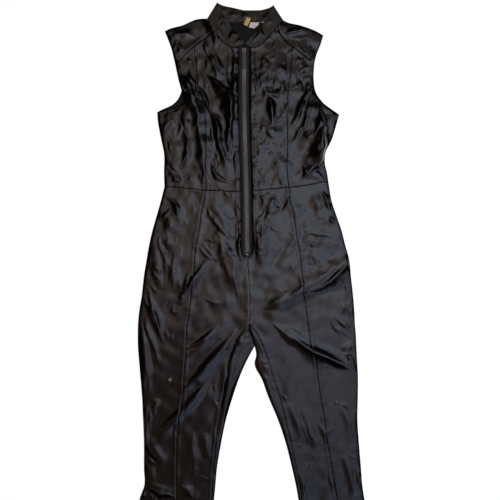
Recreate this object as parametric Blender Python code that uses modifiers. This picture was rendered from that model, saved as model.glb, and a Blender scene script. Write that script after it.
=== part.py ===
"""Sleeveless zip-front jumpsuit in black satin, laid face up and flat on a surface.

The garment rests on the plane z = 0.  +Y runs from the hems to the collar, +X is the wearer's left
and +Z is up from the cloth.  Tables are in millimetres; MM turns them into metres.

The cloth lies in layers.  The back is flat on the surface, the zip's tapes lie on the back, and the
front lies over both.  The front is one height field, cut into panels along its seams, so that a fold
runs on from one panel into the next.  The back of each leg turns over at the inner leg and reaches
the inseam on the front.  The collar is a doubled band that turns over at its two peaks.
"""
import math

import bmesh
import bpy
import numpy as np
from mathutils.bvhtree import BVHTree

MM = 0.001

# ---- cloth and clearances (mm) ---------------------------------------------------------------
BACK_WALL = 1.0            # back cloth, flat on the surface
FRONT_WALL = 1.2           # front cloth, measured straight up, so that slopes stay over 1 mm
COLLAR_WALL = 2.2          # collar cloth, doubled
TAPE_WALL = 0.7            # zip tape
LABEL_WALL = 0.6
GAP = 0.3                  # between pieces that are sewn together or lie on each other
FRONT_LOFT = 2.2           # how far the front lies above the back, away from its edges
EDGE_ROLL = 8.0            # distance over which the front comes down to the back at an edge
FOLD_FADE = 24.0           # distance over which folds die out at an edge
TURN_RADIUS = 1.0          # middle of the back cloth where it turns over at the inner leg
COLLAR_TURN = 1.35         # middle of the collar cloth where it turns over at a peak
TURN_STEPS = 4             # faces round a turned edge
BAND_WIDTH = 10.0          # armhole band

FRONT_FLOOR = BACK_WALL + GAP                       # the lowest that the front lies

# ---- grid sizes of the front panels ------------------------------------------------------------
CENTRE_COLUMNS = 8         # zip to princess seam
SIDE_COLUMNS = 7           # princess seam to side seam
NECK_ROWS = 4              # collar to princess seam, along the yoke seam
ARMHOLE_ROWS = 9           # yoke seam to the foot of the armhole
UNDERARM_COLUMNS = 5       # foot of the armhole to the side seam
SIDE_ROWS = 13             # side seam to waist
YOKE_ROWS = 4              # yoke seam to shoulder

# ---- grid sizes of the other pieces ---------------------------------------------------------------
COLLAR_ROWS = 3            # neck seam to free edge
BACK_NECK_STEPS = 5        # centre back to shoulder, on each side
SHOULDER_STEPS = 6
BACK_ARMHOLE_STEPS = 16    # the back armhole that shows past the front
BACK_SIDE_STEPS = 9        # underarm to waist on the back
EDGE_STEPS = 12            # free edges that the front's height is measured from
BAND_COLUMNS = 2           # across the armhole band
TAPE_ROWS = 13             # down the zip tapes and chain
UNDER_PARTS = 4            # readings per face where one piece is seated on another

# ---- zip (mm) ------------------------------------------------------------------------------------
TAPE_HALF = 17.0
TAPE_TOP = 640.0
TAPE_END = 135.0
CHAIN_WIDTH = 9.0
CHAIN_HEIGHT = 2.2
CHAIN_TOP = 620.5
CHAIN_END = 146.0
STOP_SIZE = (7.0, 5.4, 3.2)
STOP_ROUND = 0.8
SLIDER_SIZE = (10.5, 17.0, 3.0)
SLIDER_ROUND = 0.9
SLIDER_Y = 629.4           # middle of the slider, which stands at the top of the zip
BRIDGE_SIZE = (3.2, 12.0, 4.4)
BRIDGE_ROOT = 1.0          # how far the bridge goes down into the slider
BRIDGE_ROUND = 0.6
BRIDGE_LEG = 2.0           # thickness of the bridge's two legs
BRIDGE_TOP = 1.5           # thickness over its hole
PULL_BAR = 1.5             # side of the pull's cross bar, and its thickness
PULL_SIZE = (9.2, 40.0)    # width and length of the pull tab
PULL_EYE = (5.0, 6.0)      # hole in the pull, round the bridge
PULL_ROUND = 0.45
PULL_TILT = math.radians(1.9)
PULL_HINGE_DY = -2.4       # cross bar's place along the slider, from its middle

# ---- neck label: middle, width, length (mm) and turn; heights from its upper end to its lower ----
NECK_LABEL = {"x": -23.5, "y": 701.0, "width": 10.0, "length": 19.0, "turn": math.radians(-22),
              "heights": (2.5, 2.5, 2.5, 2.5, 1.9, 1.4)}

# ---- seams and edges: points (x, y), each from its collar, neck or waist end ---------------------
SEAMS = {
    # wearer's right
    "neck_yoke_right": [(-119, 709), (-112, 695), (-103, 680)],
    "neck_front_right": [(-103, 680), (-95, 668), (-85, 657), (-75, 648), (-60, 641), (-45, 640)],
    "shoulder_right": [(-119, 709), (-143, 707), (-180, 692), (-212, 683), (-221, 678)],
    "yoke_armhole_right": [(-221, 678), (-212, 655), (-205, 635), (-200, 615), (-196, 598)],
    "yoke_neck_right": [(-103, 680), (-122, 664), (-140, 652), (-152, 642)],
    "yoke_side_right": [(-152, 642), (-165, 630), (-180, 615), (-196, 598)],
    "armhole_right": [(-196, 598), (-189, 565), (-180, 532), (-176.5, 514)],
    "underarm_right": [(-176.5, 514), (-180, 505), (-190, 498), (-215, 491), (-239.5, 484)],
    "back_armhole_right": [(-221, 678), (-205, 635), (-196, 598), (-189, 565), (-181, 535),
                           (-191, 513), (-206, 500), (-225, 492), (-240, 487)],
    "side_right": [(-239.5, 484), (-237.5, 460), (-230, 420), (-222.5, 380), (-223, 340),
                   (-222, 306)],
    "princess_right": [(-152, 642), (-146, 600), (-141, 545), (-128, 500), (-122, 440),
                       (-121, 400), (-122, 350), (-124, 297)],
    "waist_centre_right": [(-40, 294), (-80, 295), (-124, 297)],
    "waist_side_right": [(-124, 297), (-180, 302.5), (-222, 306)],
    "zip_edge_right": [(-45, 640), (-45, 480), (-43, 400), (-41, 340), (-40, 294)],
    "zip_end_right": [(-40, 294), (-39, 220), (-37, 157), (-33, 141), (-24, 130)],
    # wearer's left
    "neck_yoke_left": [(62, 705), (56, 698.5), (50, 692)],
    "neck_front_left": [(50, 692), (42, 681), (33, 671), (20, 657), (8, 645), (-2, 640.5),
                        (-17, 640)],
    "shoulder_left": [(62, 705), (72, 700), (105, 692), (148, 675), (159, 668)],
    "yoke_armhole_left": [(159, 668), (152, 645), (142, 620), (137.5, 600)],
    "yoke_neck_left": [(50, 692), (55, 673), (65, 660), (85, 642)],
    "yoke_side_left": [(85, 642), (100, 630), (122, 612), (137.5, 600)],
    "armhole_left": [(137.5, 600), (136, 560), (141, 532), (148, 519)],
    "underarm_left": [(148, 519), (158, 507), (180, 490), (197, 478)],
    "side_left": [(197, 478), (192, 460), (180, 420), (163, 380), (163, 360), (168, 338),
                  (171, 319)],
    "princess_left": [(85, 642), (82, 600), (76, 545), (71.5, 500), (71.5, 460), (73.5, 420),
                      (72, 380), (72.5, 340), (76, 304)],
    "waist_centre_left": [(-12, 295.5), (40, 301), (76, 304)],
    "waist_side_left": [(76, 304), (120, 310), (171, 319)],
    "zip_edge_left": [(-17, 640), (-17, 480), (-15, 400), (-13, 340), (-12, 295.5)],
    "zip_end_left": [(-12, 295.5), (-11, 220), (-10, 157), (-15, 141), (-24, 130)],
    # middle
    "zip": [(-31, 640), (-31, 480), (-29, 400), (-27, 340), (-26, 295), (-25, 220), (-24, 135)],
    "centre_front": [(-24, 130), (-22, 100), (-19, 30), (-18.5, -23)],
    "centre_back": [(-26, 294.8), (-25, 220), (-24, 130), (-22, 100), (-19, 30), (-18.5, -23)],
    "crotch": [(-18.5, -23), (-15, -45), (-10, -62), (-5.7, -77)],
    "back_neck_right": [(-119, 709), (-95, 703), (-72, 700), (-32, 700)],
    "back_neck_left": [(62, 705), (38, 702), (12, 700), (-32, 700)],
    # collar: its free edge from centre back to a peak, and from there down to the front
    "collar_back_right": [(-32, 728.5), (-45, 731.5), (-60, 735), (-82, 740), (-96, 746)],
    "collar_back_left": [(-32, 728.5), (-12, 728.5), (15, 730), (28, 734), (40, 739.5)],
    "collar_front_right": [(-96, 746), (-88, 736), (-80, 718), (-70, 699), (-60, 685), (-40, 663),
                           (-30, 650)],
    "collar_front_left": [(40, 739.5), (30, 725), (20, 707), (8, 687), (-7, 671), (-27, 648)],
    "care_label": [(-16, 699.4), (5, 699.4), (4, 694), (-6, 685), (-19, 687)],
}

# ---- legs: y, then x of the side seam, the princess seam, the inseam and the turned inner edge ----
HIP_COLUMNS = ("y", "side_right", "princess_right", "princess_left", "side_left")
HIP_ROWS = [
    (270, -231.0, -129.0, 80.5, 179.5),
    (235, -241.0, -135.0, 87.0, 191.0),
    (200, -251.0, -140.0, 94.0, 203.0),
    (165, -259.0, -147.0, 99.0, 212.0),
    (130, -265.0, -150.5, 105.0, 221.5),
    (90, -271.5, -154.0, 109.0, 225.5),
    (45, -276.5, -158.0, 113.5, 230.5),
    (0, -283.5, -165.0, 119.0, 234.0),
]
LEG_COLUMNS = ("y", "side", "princess", "inseam", "turn")
LEG_ROWS = {
    "right": [
        (-23, -285.5, -168.0, -18.5, -18.5),
        (-45, -286.0, -170.0, -34.0, -15.0),
        (-77, -285.8, -171.5, -49.5, -5.7),
        (-113, -283.0, -173.5, -61.5, -25.0),
        (-157, -279.3, -176.5, -74.0, -44.0),
        (-197, -276.0, -179.5, -82.0, -57.6),
        (-254, -273.4, -188.0, -91.7, -74.4),
        (-312, -271.3, -193.0, -99.0, -86.4),
        (-370, -271.2, -194.5, -105.0, -96.0),
        (-415, -271.3, -194.0, -107.5, -100.0),
        (-430, -277.0, -193.5, -107.8, -101.5),
        (-447, -282.5, -193.5, -108.8, -103.2),
        (-485, -288.0, -197.0, -113.0, -107.0),
        (-545, -286.0, -202.0, -123.0, -117.0),
        (-650, -281.0, -210.0, -142.0, -136.0),
        (-746, -278.4, -216.0, -159.6, -153.6),
    ],
    "left": [
        (-23, 235.0, 122.0, -18.5, -18.5),
        (-45, 237.0, 125.0, -2.5, -15.0),
        (-77, 238.5, 131.5, 13.0, -5.7),
        (-98, 239.5, 136.5, 22.0, -2.0),
        (-118, 240.7, 141.0, 29.5, -6.0),
        (-157, 242.4, 146.5, 40.0, 12.0),
        (-197, 242.0, 152.5, 53.0, 26.4),
        (-254, 241.0, 162.0, 67.4, 50.4),
        (-312, 244.8, 170.0, 81.6, 69.6),
        (-370, 249.6, 179.5, 94.5, 84.0),
        (-415, 253.2, 188.0, 102.0, 94.0),
        (-447, 258.0, 193.5, 106.8, 99.5),
        (-485, 262.0, 199.0, 112.0, 104.5),
        (-545, 268.0, 207.0, 124.0, 117.5),
        (-650, 278.5, 220.0, 147.5, 141.0),
        (-746, 288.0, 233.0, 169.2, 163.2),
    ],
}
# levels down the inner edge of a leg: y reached, and the rows of faces to get there
LEG_LEVELS = [(130, 10), (-23, 9), (-31, 1), (-40, 1), (-77, 2), (-447, 21), (-746, 10)]
CROTCH_ROW = 19            # rows of faces above the crotch: the first two lines of LEG_LEVELS
PARTING_ROW = 23           # and above the point where the legs part: four more rows
CROTCH_LINES = 2           # lines of LEG_ROWS above that point
PEAK_START = 0.015         # the collar's turned edge starts this share of its height above the neck

# ---- the largest folds of the front: two ends, bow to the left of the run, width and height (mm) --
FOLDS = [
    # x0, y0, x1, y1, bow, width, height
    # bodice, wearer's right
    (-104, 500, -76, 350, 0, 20, 3.0),
    (-54, 578, -62, 372, -4, 22, 3.2),
    (-104, 622, -92, 560, 0, 20, 2.0),
    (-180, 585, -146, 500, 0, 22, 3.5),
    (-177, 508, -160, 398, 0, 22, 2.4),
    (-154, 420, -175, 338, 0, 22, 2.4),
    (-140, 500, -126, 330, 0, 20, 1.8),
    (-206, 472, -192, 335, 4, 22, 1.4),
    (-202, 668, -146, 668, 5, 20, 2.4),
    # bodice, wearer's left
    (-12, 632, -10, 480, 0, 16, 1.6),
    (16, 628, 17, 500, 0, 22, 2.4),
    (66, 624, 42, 543, 0, 24, 2.8),
    (13, 540, 66, 553, -20, 16, 2.8),
    (28, 520, 42, 442, 0, 16, 2.8),
    (16, 448, 62, 424, 0, 20, 2.4),
    (127, 536, 90, 440, -3, 16, 3.0),
    (144, 548, 107, 384, 4, 24, 3.6),
    (164, 480, 146, 350, -6, 26, 3.6),
    (104, 334, 166, 322, 4, 18, 2.8),
    (2, 458, 8, 350, 0, 24, 2.0),
    (68, 669, 120, 684, 3, 18, 2.4),
    (50, 388, 58, 312, 0, 26, 2.0),
    # hip, wearer's right
    (-193, 282, -184, 208, 0, 24, 2.3),
    (-204, 258, -227, 150, 3, 24, 2.0),
    (-246, 194, -232, 58, -3, 26, 2.6),
    (-196, 150, -199, 50, 0, 26, 2.0),
    (-94, 205, -56, 48, 5, 28, 2.9),
    (-114, 138, -190, 24, 3, 18, 3.2),
    (-106, 264, -62, 190, 0, 22, 2.3),
    # hip, wearer's left
    (20, 6, 220, 128, -4, 30, 1.6),
    (106, 177, 198, 165, 3, 22, 2.3),
    (139, 294, 153, 226, 0, 22, 2.6),
    (167, 302, 186, 222, -4, 18, 2.0),
    (10, 238, 8, 110, 4, 20, 2.6),
    (41, 293, 22, 220, 0, 20, 2.0),
    # leg, wearer's right, to the knee
    (-259, 44, -227, -50, 0, 20, 3.0),
    (-280, -12, -266, -205, 8, 22, 2.4),
    (-268, -4, -235, -120, 0, 16, 1.8),
    (-172, -101, -70, -13, 0, 18, 1.0),
    (-180, -190, -60, -60, 0, 20, 1.2),
    (-214, -266, -108, -168, 0, 20, 1.2),
    (-206, -266, -247, -312, 4, 20, 2.4),
    (-264, -202, -266, -302, 0, 18, 2.4),
    (-265, -290, -222, -358, 0, 20, 2.7),
    (-237, -203, -251, -242, 0, 14, 1.8),
    (-262, -352, -250, -402, 0, 24, 1.8),
    (-160, -278, -150, -362, 0, 22, 1.5),
    (-124, -284, -118, -346, 0, 16, 1.8),
    (-267, -406, -194, -430, 0, 20, 2.7),
    (-252, -430, -236, -474, 0, 18, 2.4),
    (-188, -402, -148, -444, 0, 34, 1.8),
    # leg, wearer's left, to the knee
    (60, -40, 240, -140, 0, 18, 1.2),
    (205, -2, 231, 36, 0, 12, 1.8),
    (178, 2, 233, -42, 0, 16, 1.8),
    (202, -86, 240, -66, 0, 16, 2.1),
    (194, -208, 230, -304, 8, 24, 2.1),
    (81, -214, 112, -306, 0, 18, 1.8),
    (108, -228, 147, -328, 0, 22, 1.8),
    (245, -340, 258, -448, 0, 12, 1.8),
    (211, -336, 237, -434, 0, 22, 2.1),
    # shins
    (-278, -498, -236, -548, 0, 24, 2.4),
    (-202, -518, -138, -562, 0, 26, 2.7),
    (-268, -578, -204, -622, 0, 26, 2.4),
    (-188, -600, -152, -704, 0, 24, 1.8),
    (-259, -658, -250, -738, 0, 24, 1.8),
    (256, -498, 204, -542, 0, 24, 2.4),
    (146, -502, 198, -562, 0, 26, 2.4),
    (269, -598, 224, -642, 0, 26, 2.4),
    (168, -618, 206, -718, 0, 24, 1.8),
    (262, -668, 270, -742, 0, 22, 1.8),
]


# ---- curves --------------------------------------------------------------------------------------
def smooth_line(points, steps=12):
    """A curve through the points, as a fine polyline: cubic pieces whose slope at a point is the
    mean of its two chords, the shorter one counting more."""
    p = np.array(points, float)
    if len(p) == 2:
        return p
    run = np.linalg.norm(np.diff(p, axis=0), axis=1)[:, None]
    chord = np.diff(p, axis=0) / run
    slope = np.vstack([chord[:1], (chord[:-1] * run[1:] + chord[1:] * run[:-1]) / (run[1:] + run[:-1]),
                       chord[-1:]])
    t = np.linspace(0, 1, steps, endpoint=False)[:, None]
    pieces = [(2 * t**3 - 3 * t**2 + 1) * a + (t**3 - 2 * t**2 + t) * length * m
              + (3 * t**2 - 2 * t**3) * b + (t**3 - t**2) * length * n
              for a, b, m, n, length in zip(p[:-1], p[1:], slope[:-1], slope[1:], run)]
    return np.vstack(pieces + [p[-1:]])


def spaced(name, count):
    """A seam as count equal steps along its length."""
    line = smooth_line(SEAMS[name])
    along = np.concatenate([[0], np.cumsum(np.linalg.norm(np.diff(line, axis=0), axis=1))])
    at = np.linspace(0, along[-1], count + 1)
    return np.column_stack([np.interp(at, along, line[:, k]) for k in (0, 1)])


def at_heights(line, ys):
    """The points of a line that runs down the garment, at the heights ys."""
    fine = smooth_line(line)
    return np.column_stack([np.interp(-ys, -fine[:, 1], fine[:, 0]), ys])


def joined(*lines):
    """Lines end to end, each shared point once."""
    return np.vstack([lines[0]] + [line[1:] for line in lines[1:]])


def coons(top, bottom, first, last):
    """A grid of points filled in between four edges: top and bottom run from the first side to the
    last, first and last run from top to bottom."""
    u = np.linspace(0, 1, len(top))[None, :, None]
    v = np.linspace(0, 1, len(first))[:, None, None]
    ruled = (1 - v) * top[None] + v * bottom[None] + (1 - u) * first[:, None] + u * last[:, None]
    corners = ((1 - u) * (1 - v) * top[0] + u * (1 - v) * top[-1]
               + (1 - u) * v * bottom[0] + u * v * bottom[-1])
    return ruled - corners


def inward(edge, inner):
    """Unit vectors across an edge, towards the row of points beside it."""
    along = np.gradient(edge, axis=0)
    across = np.column_stack([-along[:, 1], along[:, 0]])
    across /= np.linalg.norm(across, axis=1)[:, None]
    return across * np.sign((across * (inner - edge)).sum())


def inset(grid, sides=("top", "bottom", "first", "last"), distance=GAP / 2):
    """A grid whose named edges are moved in by half the seam gap."""
    moved = grid.copy()
    if "top" in sides:
        moved[0] += distance * inward(grid[0], grid[1])
    if "bottom" in sides:
        moved[-1] += distance * inward(grid[-1], grid[-2])
    if "first" in sides:
        moved[:, 0] += distance * inward(grid[:, 0], grid[:, 1])
    if "last" in sides:
        moved[:, -1] += distance * inward(grid[:, -1], grid[:, -2])
    return moved


# ---- the front's height field ----------------------------------------------------------------------
def front_edges(outline):
    """The free edges where the front comes down to the back, as segments (start, end)."""
    starts = np.vstack([line[:-1] for line in outline])
    ends = np.vstack([line[1:] for line in outline])
    return starts, ends


def edge_distance(x, y, edges):
    """Distance from each point to the nearest free edge."""
    starts, ends = edges
    run = ends - starts
    points = np.stack([x.ravel(), y.ravel()], axis=1)[:, None]
    t = np.clip(((points - starts) * run).sum(axis=2) / (run**2).sum(axis=1), 0, 1)
    gaps = np.linalg.norm(points - starts - t[..., None] * run, axis=2)
    return gaps.min(axis=1).reshape(x.shape)


def fold_height(x, y):
    """Sum of the folds: a bell across each one, fading to nothing at its two ends."""
    height = np.zeros_like(x)
    for x0, y0, x1, y1, bow, width, rise in FOLDS:
        length = math.hypot(x1 - x0, y1 - y0)
        ux, uy = (x1 - x0) / length, (y1 - y0) / length
        t = np.clip(((x - x0) * ux + (y - y0) * uy) / length, 0, 1)
        across = (y - y0) * ux - (x - x0) * uy - bow * 4 * t * (1 - t)
        height += rise * np.sin(math.pi * t) ** 0.7 * np.exp(-(2 * across / width) ** 2)
    return height


def front_height(points, edges):
    """Height of the underside of the front at a grid of points."""
    x, y = points[..., 0], points[..., 1]
    away = edge_distance(x, y, edges)
    loft = FRONT_LOFT * (1 - np.exp(-away / EDGE_ROLL))
    fade = np.clip(away / FOLD_FADE, 0, 1)
    return FRONT_FLOOR + loft + fold_height(x, y) * fade * fade * (3 - 2 * fade)


# ---- solids ------------------------------------------------------------------------------------------
def material(name, colour, roughness, metallic=0.0):
    """A plain Principled material."""
    made = bpy.data.materials.get(name) or bpy.data.materials.new(name)
    made.use_nodes = True
    shader = made.node_tree.nodes["Principled BSDF"]
    shader.inputs["Base Color"].default_value = (*colour, 1.0)
    shader.inputs["Roughness"].default_value = roughness
    shader.inputs["Metallic"].default_value = metallic
    return made


def add_object(name, mesh, look):
    """An object in the garment's collection, with its material."""
    mesh.materials.append(look)
    made = bpy.data.objects.new(name, mesh)
    bpy.data.collections["jumpsuit"].objects.link(made)
    return made


def grid_mesh(points, heights):
    """A Blender grid whose corners are carried to the given points, without those that have no
    place (nan): the bmesh, and the vertices of its last column from top to bottom."""
    rows, columns = points.shape[0] - 1, points.shape[1] - 1
    bm = bmesh.new()
    bmesh.ops.create_grid(bm, x_segments=columns, y_segments=rows, size=0.5)
    last = [None] * (rows + 1)
    for vert in bm.verts:
        column = round((vert.co.x + 0.5) * columns)
        row = round((0.5 - vert.co.y) * rows)
        vert.co = (points[row, column, 0] * MM, points[row, column, 1] * MM,
                   heights[row, column] * MM)
        if column == columns:
            last[row] = vert
    bmesh.ops.delete(bm, geom=[vert for vert in bm.verts if math.isnan(vert.co.x)], context="VERTS")
    return bm, last


def finish_mesh(name, bm):
    """Turn a closed bmesh's faces outwards and make it a mesh."""
    bmesh.ops.recalc_face_normals(bm, faces=bm.faces)
    mesh = bpy.data.meshes.new(name)
    bm.to_mesh(mesh)
    bm.free()
    return mesh


def laid_panel(name, points, heights, wall, look):
    """A piece of cloth: its underside as a grid, and its wall extruded straight up, so that the cut
    edges stay upright and keep their gap to the next piece."""
    bm = grid_mesh(points, heights)[0]
    raised = bmesh.ops.extrude_face_region(bm, geom=bm.faces[:], use_keep_orig=True)
    verts = [item for item in raised["geom"] if isinstance(item, bmesh.types.BMVert)]
    bmesh.ops.translate(bm, verts=verts, vec=(0, 0, wall * MM))
    made = add_object(name, finish_mesh(name, bm), look)
    made.data.shade_smooth()
    made.data.set_sharp_from_angle(angle=math.radians(50))
    return made


def flat_piece(name, outline, base, wall, look):
    """A flat piece of cloth, cut along an outline."""
    curve = bpy.data.curves.new(name, "CURVE")
    curve.dimensions = "2D"
    curve.fill_mode = "BOTH"
    curve.extrude = wall / 2 * MM
    spline = curve.splines.new("POLY")
    spline.points.add(len(outline) - 1)
    for point, (x, y) in zip(spline.points, outline):
        point.co = (x * MM, y * MM, 0, 1)
    spline.use_cyclic_u = True
    curve.materials.append(look)
    made = bpy.data.objects.new(name, curve)
    made.location = (0, 0, (base + wall / 2) * MM)
    bpy.data.collections["jumpsuit"].objects.link(made)
    return made


def thicken(name, bm, wall, look):
    """An open surface, thickened to both sides alike."""
    mesh = bpy.data.meshes.new(name)
    bm.to_mesh(mesh)
    bm.free()
    made = add_object(name, mesh, look)
    solid = made.modifiers.new("Wall", "SOLIDIFY")
    solid.thickness = wall * MM
    solid.offset = 0
    made.data.shade_smooth()
    return made


# ---- the garment's lines -------------------------------------------------------------------------------
def leg_edge(hand, column):
    """One column of the leg table as a line of points, with the hip's rows where it has them."""
    k = LEG_COLUMNS.index(column)
    rows = [(row[k], row[0]) for row in LEG_ROWS[hand]]
    if column in ("side", "princess"):
        hip = HIP_COLUMNS.index(f"{column}_{hand}")
        rows = [(row[hip], row[0]) for row in HIP_ROWS] + rows
    return rows


def leg_heights(top):
    """The y values of the rows of faces down a leg edge that starts at the height top, spaced as
    the inner edge is."""
    start = SEAMS["centre_back"][0][1]
    ys, y = [start], start
    for end, count in LEG_LEVELS:
        ys += list(np.linspace(y, end, count + 1)[1:])
        y = end
    hem = LEG_LEVELS[-1][0]
    return hem + (np.array(ys) - hem) * (top - hem) / (start - hem)


def leg_lines(hand):
    """The edges of one leg, row by row: side, princess, inner edge on the front, centre back with
    the turned edge."""
    waist_centre = SEAMS[f"waist_centre_{hand}"]
    waist_side = SEAMS[f"waist_side_{hand}"]
    side = at_heights([waist_side[-1]] + leg_edge(hand, "side"), leg_heights(waist_side[-1][1]))
    princess = at_heights([waist_side[0]] + leg_edge(hand, "princess"),
                          leg_heights(waist_side[0][1]))
    ys = leg_heights(SEAMS["centre_back"][0][1])
    down_zip = LEG_LEVELS[0][1]
    zip_ys = np.linspace(waist_centre[0][1], LEG_LEVELS[0][0], down_zip + 1)
    front = joined(at_heights(SEAMS[f"zip_end_{hand}"], zip_ys),
                   at_heights(SEAMS["centre_front"], ys[down_zip:CROTCH_ROW + 1]),
                   at_heights(leg_edge(hand, "inseam"), ys[CROTCH_ROW:]))
    back = joined(at_heights(SEAMS["centre_back"], ys[:CROTCH_ROW + 1]),
                  at_heights(SEAMS["crotch"], ys[CROTCH_ROW:PARTING_ROW + 1]),
                  at_heights(leg_edge(hand, "turn")[CROTCH_LINES:], ys[PARTING_ROW:]))
    return {"side": side, "princess": princess, "front": front, "back": back}


def free_edges(legs):
    """Every free edge of the front: shoulders, armholes, side seams and turned inner legs."""
    lines = []
    for hand in ("right", "left"):
        lines += [spaced(f"{name}_{hand}", EDGE_STEPS)
                  for name in ("shoulder", "yoke_armhole", "armhole", "underarm", "side")]
        lines.append(legs[hand]["side"])
        lines.append(legs[hand]["back"][PARTING_ROW - 1:])
    return front_edges(lines)


def surface_height(points, panels):
    """Height of the upper face of the panels at a grid of points, read straight down."""
    verts, faces = [], []
    for panel in panels:
        faces += [[len(verts) + k for k in face.vertices] for face in panel.data.polygons]
        verts += [vert.co.copy() for vert in panel.data.vertices]
    tree = BVHTree.FromPolygons(verts, faces)
    heights = np.zeros(points.shape[:2])
    for place in np.ndindex(heights.shape):
        x, y = points[place] * MM
        hit = tree.ray_cast((x, y, 1.0), (0, 0, -1))[0]
        if hit is None:
            near = tree.find_nearest((x, y, FRONT_FLOOR * MM))[0]
            hit = tree.find_nearest((near.x, near.y, 1.0))[0]
        heights[place] = hit.z / MM
    return heights


def highest_below(points, panels, parts=UNDER_PARTS):
    """For each point of a grid, the highest that the panels reach as far as its neighbours, so that
    the faces between the points clear the panels too."""
    rows, columns = points.shape[0] - 1, points.shape[1] - 1
    down = np.linspace(0, rows, rows * parts + 1)
    over = np.linspace(0, columns, columns * parts + 1)
    fine = np.empty((len(down), len(over), 2))
    for k in (0, 1):
        along = np.array([np.interp(down, range(rows + 1), line) for line in points[..., k].T]).T
        fine[..., k] = [np.interp(over, range(columns + 1), line) for line in along]
    under = surface_height(fine, panels)
    return np.array([[under[max(0, (i - 1) * parts):(i + 1) * parts + 1,
                            max(0, (j - 1) * parts):(j + 1) * parts + 1].max()
                      for j in range(columns + 1)] for i in range(rows + 1)])


# ---- pieces ----------------------------------------------------------------------------------------------
def side_panel(hand, yoke_side, princess, armhole, underarm):
    """Points of a side panel: a patch beside the armhole and a wider one below it, which reaches on
    along the underarm to the side seam.  Above the underarm the grid has no place (nan)."""
    foot = princess[ARMHOLE_ROWS]
    across = foot + np.linspace(0, 1, SIDE_COLUMNS + 1)[:, None] * (armhole[-1] - foot)
    upper = coons(yoke_side, across, princess[:ARMHOLE_ROWS + 1], armhole)
    columns = SIDE_COLUMNS + UNDERARM_COLUMNS
    lower = coons(joined(across, underarm), spaced(f"waist_side_{hand}", columns),
                  princess[ARMHOLE_ROWS:], spaced(f"side_{hand}", SIDE_ROWS))
    upper = inset(upper, ("top", "first"))
    lower = inset(lower, ("bottom", "first"))
    none = np.full((ARMHOLE_ROWS, UNDERARM_COLUMNS, 2), np.nan)
    return np.vstack([np.hstack([upper[:-1], none]), lower])


def bodice_front(hand, edges, look):
    """The centre panel, side panel, yoke and armhole band of one side."""
    neck_yoke = spaced(f"neck_yoke_{hand}", YOKE_ROWS)
    yoke_neck = spaced(f"yoke_neck_{hand}", NECK_ROWS)
    yoke_side = spaced(f"yoke_side_{hand}", SIDE_COLUMNS)
    princess = spaced(f"princess_{hand}", ARMHOLE_ROWS + SIDE_ROWS)
    armhole = spaced(f"armhole_{hand}", ARMHOLE_ROWS)
    underarm = spaced(f"underarm_{hand}", UNDERARM_COLUMNS)
    yoke_armhole = spaced(f"yoke_armhole_{hand}", YOKE_ROWS)
    grids = {
        "bodice_front": inset(coons(
            spaced(f"neck_front_{hand}", CENTRE_COLUMNS)[::-1],
            spaced(f"waist_centre_{hand}", CENTRE_COLUMNS),
            spaced(f"zip_edge_{hand}", NECK_ROWS + ARMHOLE_ROWS + SIDE_ROWS),
            joined(yoke_neck, princess))),
        "bodice_side": side_panel(hand, yoke_side, princess, armhole, underarm),
        "yoke": inset(coons(spaced(f"shoulder_{hand}", NECK_ROWS + SIDE_COLUMNS),
                            joined(yoke_neck, yoke_side), neck_yoke, yoke_armhole)),
    }
    made = {}
    for name, points in grids.items():
        made[name] = laid_panel(f"{name}_{hand}", points, front_height(points, edges), FRONT_WALL,
                                look)

    outer = joined(yoke_armhole, armhole, underarm)
    beside = np.vstack([grids["yoke"][:, -2],
                        grids["bodice_side"][1:ARMHOLE_ROWS + 1, SIDE_COLUMNS - 1],
                        grids["bodice_side"][ARMHOLE_ROWS + 1, SIDE_COLUMNS + 1:]])
    across = inward(outer, beside)
    steps = np.linspace(GAP, BAND_WIDTH, BAND_COLUMNS + 1)
    band = outer[:, None] + steps[None, :, None] * across[:, None]
    under = highest_below(band, [made["yoke"], made["bodice_side"]])
    laid_panel(f"armhole_band_{hand}", band, under + GAP, BACK_WALL, look)


def leg_front(hand, lines, edges, look):
    """The centre and side panels of one leg's front."""
    bottom = LEG_LEVELS[-1][0]
    hem = {key: line[-1] for key, line in lines.items()}
    panels = {
        "leg_front": (spaced(f"waist_centre_{hand}", CENTRE_COLUMNS), "front", "princess",
                      CENTRE_COLUMNS),
        "leg_side": (spaced(f"waist_side_{hand}", SIDE_COLUMNS), "princess", "side", SIDE_COLUMNS),
    }
    for name, (top, first, last, columns) in panels.items():
        xs = np.linspace(hem[first][0], hem[last][0], columns + 1)
        low = np.column_stack([xs, np.full(columns + 1, bottom)])
        points = inset(coons(top, low, lines[first], lines[last]))
        laid_panel(f"{name}_{hand}", points, front_height(points, edges), FRONT_WALL, look)


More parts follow.
